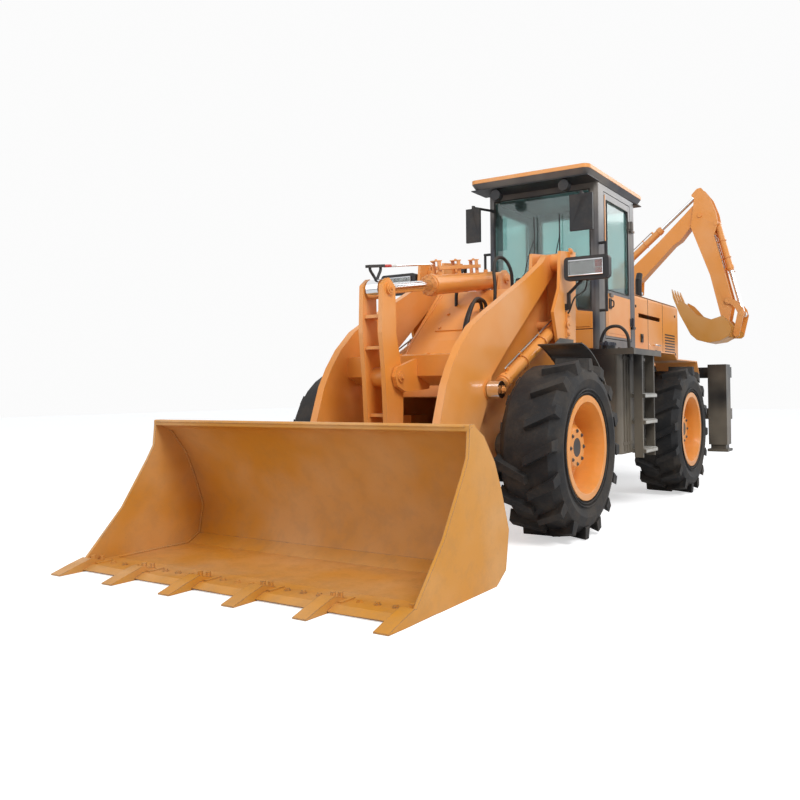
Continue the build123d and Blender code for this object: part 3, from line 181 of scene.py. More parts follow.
def wear_group():
    """Paint that is chipped at edges, scratched, faded in patches and dusty low down."""
    group = bpy.data.node_groups.get("Worn paint")
    if group:
        return group
    group = new_group("Worn paint", {
        "Paint": (0.5, 0.5, 0.5, 1), "Bare": (0.2, 0.18, 0.16, 1), "Dust": (0.3, 0.22, 0.15, 1),
        "Edge wear": 0.5, "Scratches": 0.3, "Dustiness": 0.3, "Gloss": 0.35, "Edge radius": 0.006,
    }, ("Color", "Roughness", "Metallic", "Height"))
    enter = group.nodes.new("NodeGroupInput")
    leave = group.nodes.new("NodeGroupOutput")
    coords = group.nodes.new("ShaderNodeTexCoord").outputs["Object"]
    shape = group.nodes.new("ShaderNodeNewGeometry")
    # edge mask: how far the rounded normal leaves the flat one
    rounded = group.nodes.new("ShaderNodeBevel")
    rounded.samples = 4
    link(group, enter, "Edge radius", rounded, "Radius")
    dot = group.nodes.new("ShaderNodeVectorMath")
    dot.operation = "DOT_PRODUCT"
    link(group, rounded, "Normal", dot, 0)
    link(group, shape, "Normal", dot, 1)
    edge = ramp(group, dot.outputs["Value"], 0.995, 0.86)
    chips = noise(group, coords, 26.0, 6.0, 0.65)
    patches = noise(group, coords, 3.1, 5.0)
    patch_mask = ramp(group, patches.outputs["Fac"], 0.35, 0.75)
    chip_level = times(group, plus(group, chips.outputs["Fac"], patch_mask), 0.62)
    exposed = times(group, chip_level, plus(group, enter.outputs["Edge wear"], 0.45))
    edge_bare = ramp(group, times(group, edge, exposed), 0.33, 0.45)
    # long thin scratches from stretched noise
    stretch = node(group, "ShaderNodeMapping", Scale=(3.0, 3.0, 38.0), Rotation=(0.4, 0.9, 0.0))
    group.links.new(coords, stretch.inputs["Vector"])
    streaks = noise(group, stretch.outputs["Vector"], 3.4, 7.0, 0.7)
    scratch = times(group, ramp(group, streaks.outputs["Fac"], 0.66, 0.70), enter.outputs["Scratches"])
    scratch = times(group, scratch, ramp(group, patches.outputs["Fac"], 0.48, 0.62))
    bare = calc(group, "MAXIMUM", times(group, edge_bare, enter.outputs["Edge wear"]), scratch)
    # slow fading of the paint
    fade = noise(group, coords, 1.3, 3.0)
    fading = times(group, ramp(group, fade.outputs["Fac"], 0.35, 0.7), FADE_AMOUNT)
    faded = mixed(group, fading, enter.outputs["Paint"], FADED_TINT)
    colour = mixed(group, bare, faded, enter.outputs["Bare"])
    # dust: more of it low down and on faces that look up
    split = group.nodes.new("ShaderNodeSeparateXYZ")
    group.links.new(coords, split.inputs[0])
    facing = group.nodes.new("ShaderNodeSeparateXYZ")
    link(group, shape, "Normal", facing, 0)
    low_down = times(group, ramp(group, split.outputs["Z"], DUST_TOP_Z, 0.0), 0.85)
    upward = times(group, ramp(group, facing.outputs["Z"], 0.3, 1.0), 0.55)
    grains = noise(group, coords, 9.0, 9.0, 0.7)
    speckle = ramp(group, grains.outputs["Fac"], 0.42, 0.66)
    settled = times(group, plus(group, low_down, upward), speckle)
    dusty = times(group, settled, enter.outputs["Dustiness"])
    colour = mixed(group, dusty, colour, enter.outputs["Dust"])
    group.links.new(colour, leave.inputs["Color"])
    orange_peel = noise(group, coords, 120.0, 2.0)
    rough = plus(group, enter.outputs["Gloss"], times(group, dusty, 0.5))
    rough = plus(group, rough, times(group, orange_peel.outputs["Fac"], 0.12))
    group.links.new(rough, leave.inputs["Roughness"])
    group.links.new(times(group, bare, 0.7), leave.inputs["Metallic"])
    relief = plus(group, times(group, orange_peel.outputs["Fac"], 0.15), 0.5)
    relief = calc(group, "SUBTRACT", relief, times(group, bare, 0.3))
    group.links.new(plus(group, relief, times(group, dusty, 0.2)), leave.inputs["Height"])
    return group


def grain_group():
    """Fine grain of rubber, plastic and cloth, with soil caught in it."""
    group = bpy.data.node_groups.get("Grained")
    if group:
        return group
    group = new_group("Grained", {
        "Base": (0.1, 0.1, 0.1, 1), "Dust": (0.3, 0.22, 0.15, 1), "Grain scale": 90.0,
        "Dustiness": 0.4, "Roughness": 0.7,
    }, ("Color", "Roughness", "Height"))
    enter = group.nodes.new("NodeGroupInput")
    leave = group.nodes.new("NodeGroupOutput")
    coords = group.nodes.new("ShaderNodeTexCoord").outputs["Object"]
    grain = noise(group, coords, 90.0, 3.0)
    link(group, enter, "Grain scale", grain, "Scale")
    blotch = noise(group, coords, 4.5, 8.0, 0.7)
    soil = times(group, ramp(group, blotch.outputs["Fac"], 0.4, 0.68), enter.outputs["Dustiness"])
    tone = mixed(group, times(group, grain.outputs["Fac"], 0.12), enter.outputs["Base"], GRAIN_TINT)
    group.links.new(mixed(group, soil, tone, enter.outputs["Dust"]), leave.inputs["Color"])
    rough = plus(group, enter.outputs["Roughness"], times(group, soil, 0.3))
    group.links.new(rough, leave.inputs["Roughness"])
    group.links.new(grain.outputs["Fac"], leave.inputs["Height"])
    return group


# ---------------------------------------------------------------- materials
BARE_METAL = (0.17, 0.14, 0.12)
COAT_ROUGHNESS = 0.18
GLASS_IOR = 1.45


def fresh_material(name):
    """A new material with its tree, its Principled shader and a bump node that feeds it."""
    made = bpy.data.materials.new(name)
    made.use_nodes = True
    shader = made.node_tree.nodes["Principled BSDF"]
    shader.inputs["Specular IOR Level"].default_value = 0.25
    bump = made.node_tree.nodes.new("ShaderNodeBump")
    link(made.node_tree, bump, "Normal", shader, "Normal")
    return made, made.node_tree, shader, bump


def grouped(name, group, values, strength, distance):
    """A material whose shader and bump node are fed by one shader group."""
    made, tree, shader, bump = fresh_material(name)
    holder = tree.nodes.new("ShaderNodeGroup")
    holder.node_tree = group
    for key, value in values.items():
        holder.inputs[key].default_value = value if isinstance(value, float) else (*value, 1)
    link(tree, holder, "Color", shader, "Base Color")
    for key in ("Roughness", "Metallic"):
        if key in holder.outputs:
            link(tree, holder, key, shader, key)
    link(tree, holder, "Height", bump, "Height")
    bump.inputs["Strength"].default_value = strength
    bump.inputs["Distance"].default_value = distance
    return made, shader


def worn_paint(name, colour, edge_wear, scratches, dustiness, gloss=0.3, coat=0.25):
    made, shader = grouped(name, wear_group(), {
        "Paint": colour, "Bare": BARE_METAL, "Dust": paint().dust, "Edge wear": edge_wear,
        "Scratches": scratches, "Dustiness": dustiness, "Gloss": gloss}, strength=0.25, distance=0.002)
    shader.inputs["Coat Weight"].default_value = coat
    shader.inputs["Coat Roughness"].default_value = COAT_ROUGHNESS
    return made


def grained(name, colour, grain_scale, dustiness, roughness, depth):
    return grouped(name, grain_group(), {
        "Base": colour, "Dust": paint().dust, "Grain scale": grain_scale, "Dustiness": dustiness,
        "Roughness": roughness}, strength=0.5, distance=depth)[0]


def metal(name, colour, roughness, scratch_scale=60.0):
    """Bare or plated metal with fine scratches."""
    made, tree, shader, bump = fresh_material(name)
    coords = tree.nodes.new("ShaderNodeTexCoord").outputs["Object"]
    marks = noise(tree, coords, scratch_scale, 6.0, 0.7)
    shader.inputs["Base Color"].default_value = (*colour, 1)
    shader.inputs["Metallic"].default_value = 1.0
    level = node(tree, "ShaderNodeMapRange", To_Min=roughness * 0.7, To_Max=roughness * 1.6)
    link(tree, marks, "Fac", level, "Value")
    link(tree, level, "Result", shader, "Roughness")
    link(tree, marks, "Fac", bump, "Height")
    bump.inputs["Strength"].default_value = 0.05
    bump.inputs["Distance"].default_value = 0.001
    return made


def pane_glass(name, tint, dustiness=0.25):
    """Tinted glass with a film of dust that turns it pale and rough."""
    made, tree, shader, bump = fresh_material(name)
    coords = tree.nodes.new("ShaderNodeTexCoord").outputs["Object"]
    film = noise(tree, coords, 2.4, 6.0, 0.65)
    shader.inputs["Transmission Weight"].default_value = 0.92
    shader.inputs["IOR"].default_value = GLASS_IOR
    level = ramp(tree, film.outputs["Fac"], 0.4, 0.75)
    colour = mixed(tree, times(tree, level, dustiness), tint, FILM_TINT)
    tree.links.new(colour, shader.inputs["Base Color"])
    rough = node(tree, "ShaderNodeMapRange", To_Min=0.02, To_Max=0.14)
    tree.links.new(level, rough.inputs["Value"])
    link(tree, rough, "Result", shader, "Roughness")
    link(tree, film, "Fac", bump, "Height")
    bump.inputs["Strength"].default_value = 0.02
    return made


MATERIALS = {}


def material(key):
    """The finish of that name, made the first time it is asked for."""
    if key not in MATERIALS:
        p = paint()
        makers = {
            "orange": lambda: worn_paint("Orange paint", p.orange, 0.4, 0.08, 0.12),
            "ochre": lambda: worn_paint("Ochre bucket paint", p.ochre, 0.9, 0.4, 0.2, 0.36, 0.12),
            "black": lambda: worn_paint("Black chassis paint", p.black, 0.35, 0.08, 0.12, 0.36, 0.2),
            "cab": lambda: worn_paint("Cab paint", p.cab, 0.2, 0.05, 0.12, 0.28, 0.4),
            "rubber": lambda: grained("Tyre rubber", p.rubber, 70.0, 0.14, 0.6, 0.002),
            "plastic": lambda: grained("Moulded plastic", (0.02, 0.02, 0.022), 260.0, 0.12, 0.42, 0.0006),
            "seat": lambda: grained("Seat cloth", (0.035, 0.035, 0.04), 420.0, 0.1, 0.85, 0.001),
            "chrome": lambda: metal("Chromed rod", (0.82, 0.83, 0.85), 0.09),
            "steel": lambda: metal("Worn steel", (0.36, 0.33, 0.30), 0.36, 34.0),
            "iron": lambda: worn_paint("Engine iron", (0.045, 0.045, 0.05), 0.3, 0.1, 0.5, 0.55, 0.0),
            "glass": lambda: pane_glass("Cab glass", p.glass),
            "lens": lambda: pane_glass("Lamp lens", (0.62, 0.64, 0.63), 0.1),
            "amber": lambda: pane_glass("Amber lens", (0.9, 0.16, 0.02), 0.1),
            "hose": lambda: grained("Hose rubber", (0.014, 0.014, 0.015), 300.0, 0.2, 0.5, 0.0006),
            "tread": lambda: worn_paint("Pale tread", (0.42, 0.43, 0.42), 0.4, 0.3, 0.4, 0.5, 0.0),
            "reflector": lambda: metal("Reflector", (0.42, 0.43, 0.44), 0.2),
            "brass": lambda: metal("Brass fitting", (0.62, 0.42, 0.16), 0.25),
            "red": lambda: worn_paint("Red paint", (0.5, 0.02, 0.015), 0.2, 0.1, 0.2, 0.35, 0.1),
            "white": lambda: worn_paint("White paint", (0.72, 0.71, 0.68), 0.2, 0.1, 0.25, 0.4, 0.1),
        }
        MATERIALS[key] = makers[key]()
    return MATERIALS[key]


# ---------------------------------------------------------------- meshes
SMOOTH_ANGLE = 35.0     # degrees: sharper edges stay hard
BEVEL_ANGLE = 32.0      # degrees: sharper edges are rounded
FLAT_ANGLE = 1.0        # degrees: flatter edges are dissolved
WELD_DISTANCE = 0.00002
ROOF_SEAM_Z = 2.752
ABOVE, BELOW = 1, -1


def placed(name, body, finish, mesh):
    """Link a finished mesh as a piece of one body with one finish."""
    piece = bpy.data.objects.new(name, mesh)
    bpy.context.scene.collection.objects.link(piece)
    mesh.materials.clear()
    mesh.materials.append(material(finish))
    for face in mesh.polygons:
        face.use_smooth = True
    mesh.set_sharp_from_angle(angle=math.radians(SMOOTH_ANGLE))
    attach(piece, body)
    return piece


def rounded_edges(piece, width):
    bevel = piece.modifiers.new("Rounded edges", "BEVEL")
    bevel.affect = "EDGES"
    bevel.width = width
    bevel.segments = 2
    bevel.profile = 0.5
    bevel.material = -1
    bevel.limit_method = "ANGLE"
    bevel.angle_limit = math.radians(BEVEL_ANGLE)
    bevel.use_clamp_overlap = True
    bevel.harden_normals = True


def dressed(node_name, finish, edge=None, half=0, part=""):
    """A merged copy of a CAD node with rounded edges, in its own finish.

    half keeps what is ABOVE or BELOW the roof's seam.
    """
    mesh = frame["nodes"][node_name].data.copy()
    bm = bmesh.new()
    bm.from_mesh(mesh)
    bmesh.ops.remove_doubles(bm, verts=bm.verts, dist=WELD_DISTANCE)
    if half:
        bmesh.ops.bisect_plane(bm, geom=[*bm.verts, *bm.edges, *bm.faces], dist=1e-6,
                               plane_co=(0, 0, ROOF_SEAM_Z), plane_no=(0, 0, 1))
        lost = [face for face in bm.faces
                if (face.calc_center_median().z > ROOF_SEAM_Z) != (half == ABOVE)]
        bmesh.ops.delete(bm, geom=lost, context="FACES")
    bmesh.ops.dissolve_limit(bm, angle_limit=math.radians(FLAT_ANGLE), verts=bm.verts, edges=bm.edges)
    bm.to_mesh(mesh)
    bm.free()
    mesh.name = node_name + "_skin" + part
    piece = placed(mesh.name, BODY_OF[node_name], finish, mesh)
    width = sizes().edge if edge is None else edge
    if width:
        rounded_edges(piece, width)
    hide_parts(node_name)


class Detail:
    """Small solids of one finish that ride one body, gathered into one piece."""

    def __init__(self, name, body, finish):
        self.name, self.body, self.finish = name, body, finish
        self.bm = bmesh.new()

    def rod(self, start, end, radius, end_radius=None, sides=20):
        """Capped cylinder or cone between two points."""
        start, end = Vector(start), Vector(end)
        along = end - start
        turn = along.to_track_quat("Z", "Y").to_matrix().to_4x4()
        bmesh.ops.create_cone(
            self.bm, cap_ends=True, segments=sides, radius1=radius,
            radius2=radius if end_radius is None else end_radius,
            depth=along.length, matrix=Matrix.Translation((start + end) / 2) @ turn)

    def block(self, xs, ys, zs):
        """Box between two values on each axis."""
        pairs = [sorted(pair) for pair in (xs, ys, zs)]
        middle = Vector([(low + high) / 2 for low, high in pairs])
        size = [high - low for low, high in pairs]
        stretch = Matrix.Diagonal((*size, 1.0))
        bmesh.ops.create_cube(self.bm, size=1.0, matrix=Matrix.Translation(middle) @ stretch)

    def slab(self, corners, way):
        """Flat face through the corners, pushed along a vector."""
        face = self.bm.faces.new([self.bm.verts.new(corner) for corner in corners])
        made = bmesh.ops.extrude_face_region(self.bm, geom=[face])["geom"]
        bmesh.ops.translate(self.bm, verts=[v for v in made if isinstance(v, bmesh.types.BMVert)], vec=way)

    def plate(self, outline, low, high, axis="Y"):
        """Flat outline pushed along one axis: (x, z) pairs for Y, (y, z) pairs for X."""
        if axis == "Y":
            self.slab([(x, low, z) for x, z in outline], (0, high - low, 0))
        else:
            self.slab([(low, y, z) for y, z in outline], (high - low, 0, 0))

    def bar(self, at, along, heights, across):
        """Box beside an axis in the XZ plane; at is a function of along_axis."""
        (near, far), (low, high) = along, heights
        corners = (at(near, low), at(far, low), at(far, high), at(near, high))
        self.plate([(p.x, p.z) for p in corners], *across)

    def tube(self, points, radius, sides=12, smooth=True, closed=False):
        """Round tube along a path, rounded through its points when smooth."""
        path = curve_points(points) if smooth else [Vector(p) for p in points]
        ways = tangents(path, closed)
        side = ways[0].orthogonal().normalized()
        turn = Matrix((side, ways[0].cross(side), ways[0])).transposed().to_4x4()
        ring = bmesh.ops.create_circle(self.bm, cap_ends=False, segments=sides, radius=radius,
                                       matrix=Matrix.Translation(path[0]) @ turn)["verts"]
        first = edges = list(dict.fromkeys(edge for vert in ring for edge in vert.link_edges))
        for index in range(1, len(path)):
            made = bmesh.ops.extrude_edge_only(self.bm, edges=edges)["geom"]
            verts = [item for item in made if isinstance(item, bmesh.types.BMVert)]
            edges = [item for item in made if isinstance(item, bmesh.types.BMEdge) and item.is_boundary]
            swing = ways[index - 1].rotation_difference(ways[index]).to_matrix()
            bmesh.ops.rotate(self.bm, verts=verts, cent=path[index - 1], matrix=swing)
            bmesh.ops.translate(self.bm, verts=verts, vec=path[index] - path[index - 1])
        if closed:
            bmesh.ops.bridge_loops(self.bm, edges=first + edges)
        else:
            for rim in (first, edges):
                bmesh.ops.contextual_create(self.bm, geom=rim)

    def seam(self, points, radius, sides=8, closed=False):
        """Thin tube with straight stretches between its points."""
        self.tube(points, radius, sides, False, closed)

    def loop(self, centre, axis, radius, thickness, sides=48):
        """Closed ring around an axis."""
        axis = Vector(axis).normalized()
        first = axis.orthogonal().normalized()
        second = axis.cross(first)
        self.seam([Vector(centre) + u * first + w * second for u, w in around(sides, radius)],
                  thickness, closed=True)

    def bolt(self, place, normal, radius=None, height=None):
        """Hexagonal head on a washer, of a large bolt if no radius is given."""
        radius = sizes().bolt if radius is None else radius
        height = radius * 0.75 if height is None else height
        place, normal = Vector(place), Vector(normal).normalized()
        self.rod(place, place + normal * height * 0.3, radius * 1.45, sides=20)
        self.rod(place + normal * height * 0.28, place + normal * height * 1.25, radius, radius * 0.94, sides=6)

    def place(self, edge=0.0):
        """Make the piece, with small rounded edges if asked."""
        bmesh.ops.recalc_face_normals(self.bm, faces=self.bm.faces)
        mesh = bpy.data.meshes.new(self.name)
        self.bm.to_mesh(mesh)
        self.bm.free()
        piece = placed(self.name, self.body, self.finish, mesh)
        if edge:
            rounded_edges(piece, edge)


def around(count, radius, start=0.0):
    """Pairs of values at even steps around a circle."""
    turns = [start + 2 * math.pi * k / count for k in range(count)]
    return [(radius * math.cos(turn), radius * math.sin(turn)) for turn in turns]


def tangents(path, closed):
    """Direction of a path at each of its points."""
    last = len(path) - 1
    made = []
    for index, point in enumerate(path):
        before = path[index - 1] if index or closed else point
        after = path[(index + 1) % len(path)] if index < last or closed else point
        made.append((after - before).normalized())
    return made


def curve_points(points, steps=7):
    """Smooth curve through the points."""
    points = [Vector(p) for p in points]
    last = len(points) - 1
    made = []
    for index in range(last):
        p1, p2 = points[index], points[index + 1]
        p0 = points[index - 1] if index else p1
        p3 = points[index + 2] if index < last - 1 else p2
        for step in range(steps):
            t = step / steps
            made.append(0.5 * (2 * p1 + (p2 - p0) * t + (2 * p0 - 5 * p1 + 4 * p2 - p3) * t * t
                               + (3 * p1 - p0 - 3 * p2 + p3) * t * t * t))
    return made + [points[-1]]


# ---------------------------------------------------------------- details of each group
AXLES = (("front", 1.38), ("rear", -1.156))
AXLE_Z, WHEEL_Y = 0.575, 0.838
LIFT_BASE, LIFT_PIN, LIFT_Y = (0.755, 1.42), (1.71, 0.95), 0.541
TILT_BASE, CRANK_TOP, CRANK_PIVOT = (0.72, 1.8), (2.225, 1.57), (2.16, 1.033)
HOE_X = -3.421
HOE_CYLINDERS = {       # (y, z) of base and tip, the barrel's radius and length
    "boom": ((-0.5, 0.84), (-0.19, 2.13), 0.05, 0.71),
    "dipper": ((-0.47, 2.41), (0.528, 3.242), 0.046, 0.70),
    "bucket": ((0.775, 2.88), (1.05, 1.8), 0.043, 0.60),
}


def along_axis(base, tip, up):
    """A function from (distance along, height, across) to a point beside a cylinder."""
    base, tip = Vector(base), Vector(tip)
    axis = (tip - base).normalized()
    up = (Vector(up) - axis * axis.dot(Vector(up))).normalized()
    across = axis.cross(up)
    return lambda a, h=0.0, c=0.0: base + axis * a + up * h + across * c


def cylinder_trim(name, body, base, tip, up, radius, length):
    """Ports, a steel pipe, clamps and the gland's bolts on a cylinder's barrel."""
    at = along_axis(base, tip, up)
    axis = at(1) - at(0)
    first_port, last_port = 0.1, length - 0.06
    pipe = Detail(name + "_pipe", body, "steel")
    pipe.tube([at(first_port, radius + 0.016), at(first_port + 0.04, radius + 0.019),
               at(last_port - 0.04, radius + 0.019), at(last_port, radius + 0.016)], 0.006)
    pipe.place()
    ports = Detail(name + "_ports", body, "orange")
    for a in (first_port, last_port):
        ports.rod(at(a, radius * 0.8), at(a, radius + 0.016), 0.013)
    for a in (length * 0.35, length * 0.7):
        ports.loop(at(a), axis, radius + 0.001, 0.005, 36)
        ports.rod(at(a, radius * 0.9), at(a, radius + 0.027), 0.008)
    for u, w in around(8, radius * 0.93, 0.39):
        ports.bolt(at(length - 0.001, u, w), axis, 0.0055, 0.005)
    ports.place()


def wheel_details():
    for word, x in AXLES:
        for side, hand in SIDES:
            body = f"wheel_{word}_{hand}"
            out = (0, side, 0)
            disc, hub_face = side * (WHEEL_Y - 0.04), side * 0.948
            bolts = Detail(f"wheel_bolts_{word}_{hand}", body, "orange")
            for u, w in around(18, 0.215):
                bolts.bolt((x + u, disc, AXLE_Z + w), out, 0.013, 0.014)
            bolts.loop((x, disc, AXLE_Z), (0, 1, 0), 0.268, 0.008)
            bolts.place()
            rings = Detail(f"tyre_rings_{word}_{hand}", body, "rubber")
            for radius, depth in ((0.352, 0.183), (0.372, 0.190)):
                rings.loop((x, side * (WHEEL_Y + depth), AXLE_Z), (0, 1, 0), radius, 0.005)
            rings.place()
            stem = Detail(f"valve_{word}_{hand}", body, "brass")
            stem.rod((x + 0.262, disc, AXLE_Z), (x + 0.262, disc + side * 0.045, AXLE_Z), 0.006)
            stem.place()
            hub = Detail(f"hub_bolts_{word}_{hand}", body, "iron")
            for u, w in around(8, 0.105):
                hub.bolt((x + u, hub_face, AXLE_Z + w), out, 0.009, 0.008)
            hub.place()


def loader_details():
    bolts = Detail("tower_bolts", "front_body", "orange")
    for side in (LEFT, RIGHT):
        for x, z in ((0.685, 1.895), LIFT_BASE):
            for dz in (-0.07, 0.07):
                bolts.bolt((x, side * 0.634, z + dz), (0, side, 0), 0.013)
            bolts.rod((x, side * 0.633, z), (x, side * 0.639, z), 0.034, sides=36)
            bolts.bolt((x, side * 0.639, z), (0, side, 0), 0.008)
        # weld seams along the slope and the rear of the inner plates
        slope_y, rear_y = side * 0.3685, side * 0.401
        bolts.seam([(0.868, slope_y, 1.709), (1.312, slope_y, 1.309), (1.632, slope_y, 0.909)], 0.006)
        bolts.seam([(0.6, rear_y, 1.302), (0.6, rear_y, 1.95)], 0.005)
        bolts.bolt((TILT_BASE[0], side * 0.118, TILT_BASE[1]), (0, side, 0))
    # bolted cover in the slope between the plates
    slope = along_axis((0.866, 0, 1.706), (1.31, 0, 1.306), (0, 0, 1))
    for k in range(3):
        for c in (-0.19, 0.19):
            bolts.bolt(slope(0.13 + 0.165 * k, 0.009, c), slope(0, 1) - slope(0, 0), 0.011)
    bolts.place()
    lid = Detail("tower_cover", "front_body", "orange")
    corners = [slope(a, -0.002, c) for a, c in ((0.1, -0.22), (0.49, -0.22), (0.49, 0.22), (0.1, 0.22))]
    lid.slab(corners, 0.011 * (slope(0, 1) - slope(0)))
    lid.place(0.002)
    # hoses that leave the cover and drop between the plates
    hoses = Detail("tower_hoses", "front_body", "hose")
    for c, reach in ((0.10, 0.0), (0.135, 0.03)):
        hoses.tube([slope(0.3, 0.0, -c), slope(0.27, 0.08, -c), slope(0.36, 0.14 + reach, -c),
                    slope(0.52, 0.11 + reach, -c), slope(0.68, 0.02 + reach, -c),
                    slope(0.70, 0.0 + reach / 2, -c)], sizes().hose)
    for path in (
        [(0.80, 0.20, 1.69), (0.82, 0.20, 1.84), (0.86, 0.165, 1.93), (0.94, 0.14, 1.925),
         (1.0, 0.15, 1.84), (1.02, 0.17, 1.70), (1.03, 0.17, 1.565)],
        [(0.80, -0.20, 1.69), (0.82, -0.20, 1.82), (0.88, -0.165, 1.90), (0.96, -0.15, 1.84),
         (1.0, -0.17, 1.70), (1.01, -0.17, 1.58)],
    ):
        hoses.tube(path, sizes().hose)
    hoses.place()
    fittings = Detail("tower_fittings", "front_body", "steel")
    for c in (0.10, 0.135):
        fittings.rod(slope(0.3, 0.0, -c), slope(0.29, 0.035, -c), 0.017, sides=6)
    fittings.place()

    for side, hand in SIDES:
        y = side * LIFT_Y
        cylinder_trim("lift_" + hand, f"lift_barrel_{hand}_body", (LIFT_BASE[0], y, LIFT_BASE[1]),
                      (LIFT_PIN[0], y, LIFT_PIN[1]), (0, 0, 1), 0.05, 0.93)
    # tilt cylinder: flange, ports and the guide of the level rod
    at = along_axis((TILT_BASE[0], 0, TILT_BASE[1]), (CRANK_TOP[0], 0, CRANK_TOP[1]), (0, 0, 1))
    axis = at(1) - at(0)
    guide = Detail("level_guide", "tilt_barrel_body", "orange")
    for a in (0.30, 0.56, 0.82):
        for c in (-0.024, 0.024):
            guide.bar(at, (a - 0.02, a + 0.02), (0.05, 0.158), (c - 0.004, c + 0.004))
        guide.bar(at, (a - 0.03, a + 0.03), (0.157, 0.165), (-0.03, 0.03))
        guide.bolt(at(a, 0.165), at(0, 1) - at(0, 0), 0.009)
    for c in (-0.038, 0.038):
        guide.bar(at, (0.27, 0.85), (0.1, 0.125), (c - 0.004, c + 0.004))
    for u, w in around(10, 0.061):
        guide.bolt(at(0.952, u, w), axis, 0.006, 0.006)
    guide.rod(at(0.16, 0.05, -0.02), at(0.16, 0.085, -0.02), 0.016)
    guide.rod(at(0.88, 0.04, 0.045), at(0.88, 0.05, 0.075), 0.014)
    guide.place(0.0008)
    level_height = 0.14
    for name, finish, near, far, radius in (("level_rod", "chrome", 0.86, 1.50, 0.008),
                                            ("level_rod_bands", "red", 1.36, 1.43, 0.0092),
                                            ("level_rod_white", "white", 1.30, 1.36, 0.0092)):
        rod = Detail(name, "tilt_rod_body", finish)
        rod.rod(at(near, level_height), at(far, level_height), radius)
        rod.place()
    fork = Detail("level_fork", "tilt_rod_body", "plastic")
    root = 1.522
    for a in (1.47, 1.575):
        fork.tube([at(root, 0.052), at((root + a) / 2, 0.085), at(a, 0.118), at(a, 0.15)], 0.009)
    fork.bar(at, (1.44, 1.60), (0.133, 0.15), (-0.016, 0.016))
    fork.place(0.001)
    pins = Detail("crank_bolts", "bellcrank_body", "orange")
    for side in (LEFT, RIGHT):
        x, z = CRANK_TOP
        pins.rod((x, side * 0.103, z), (x, side * 0.109, z), 0.026, sides=32)
        pins.bolt((x, side * 0.109, z), (0, side, 0), 0.01)
    pins.place()
    arms = Detail("arm_bolts", "arms", "orange")
    for side in (LEFT, RIGHT):
        x, z = LIFT_PIN
        arms.bolt((CRANK_PIVOT[0], side * 0.134, CRANK_PIVOT[1]), (0, side, 0))
        arms.bolt((x, side * 0.592, z), (0, side, 0), 0.016)
        for u, w in around(6, 0.024):
            arms.bolt((x + u, side * 0.592, z + w), (0, side, 0), 0.004)
    arms.place()


def bucket_details():
    ochre = Detail("bucket_trim", "bucket_body", "ochre")
    half, tooth_half, count = 1.087, 0.038, 6
    limit, floor = 1.085, 0.03
    pitch = 2 * (half - tooth_half) / (count - 1)
    for index in range(count):
        y = -half + tooth_half + index * pitch
        for x in (3.352, 3.402):
            ochre.rod((x, y, floor), (x, y, 0.052 + (x - 3.33) * 0.25), 0.013, sides=6)
        ochre.plate([(3.325, 0.029), (3.42, 0.029), (3.42, 0.036), (3.325, 0.036)],
                    max(y - 0.062, -limit), min(y + 0.062, limit))
    for index in range(count - 1):
        for part in (0.27, 0.5, 0.73):
            y = -half + tooth_half + (index + part) * pitch
            ochre.bolt((3.36, y, floor), (0, 0, 1), 0.012)
    profile = [(3.43, 0.028), (2.755, 0.029), (2.667, 0.078), (2.636, 0.25), (2.708, 0.45), (2.77, 0.586),
               (2.871, 0.712), (2.93, 0.75)]
    for side in (LEFT, RIGHT):
        # weld seam inside the cheek, wear strip at its corner outside
        ochre.seam([(x, side * 1.0645, z) for x, z in profile], 0.006)
        ochre.plate([(3.06, floor), (3.40, floor), (3.36, 0.085), (3.12, 0.085)], side * 1.0865, side * 1.0869)
    ochre.seam([(2.986, -1.06, 0.78), (2.986, 1.06, 0.78)], 0.005)
    ochre.place()


def lamp_details():
    for side, hand in SIDES:
        low, high = sorted((side * 0.69, side * 0.94))
        shine = Detail("lamp_reflector_" + hand, "front_body", "reflector")
        shine.block((0.8552, 0.857), (low, high), (1.764, 1.862))
        for y in (0.745, 0.83):
            for radius in (0.016, 0.029, 0.039):
                shine.loop((0.858, side * y, 1.813), (1, 0, 0), radius, 0.0035)
        shine.place()
        rim = Detail("lamp_bezel_" + hand, "front_body", "chrome")
        corners = [(low - 0.004, 1.76), (high + 0.004, 1.76), (high + 0.004, 1.866), (low - 0.004, 1.866)]
        rim.seam([(0.864, y, z) for y, z in corners], 0.007, 10, True)
        rim.place()
        glass = Detail("lamp_lens_" + hand, "front_body", "lens")
        glass.block((0.8665, 0.8695), (low, high), (1.763, 1.863))
        for k in range(11):
            y = side * (0.70 + 0.0165 * k)
            glass.block((0.8635, 0.8662), (y - 0.002, y + 0.002), (1.768, 1.858))
        glass.place()
        for name, finish, heights in (("lamp_indicator_", "amber", (1.768, 1.806)),
                                      ("lamp_marker_", "red", (1.812, 1.858))):
            lens = Detail(name + hand, "front_body", finish)
            lens.block((0.8575, 0.8655), (side * 0.885, side * 0.936), heights)
            lens.place(0.002)
        cable = Detail("lamp_cable_" + hand, "front_body", "hose")
        cable.tube([(0.79, side * 0.80, 1.73), (0.775, side * 0.77, 1.66), (0.79, side * 0.70, 1.61),
                    (0.77, side * 0.65, 1.52), (0.765, side * 0.63, 1.50)], 0.006)
        cable.place()


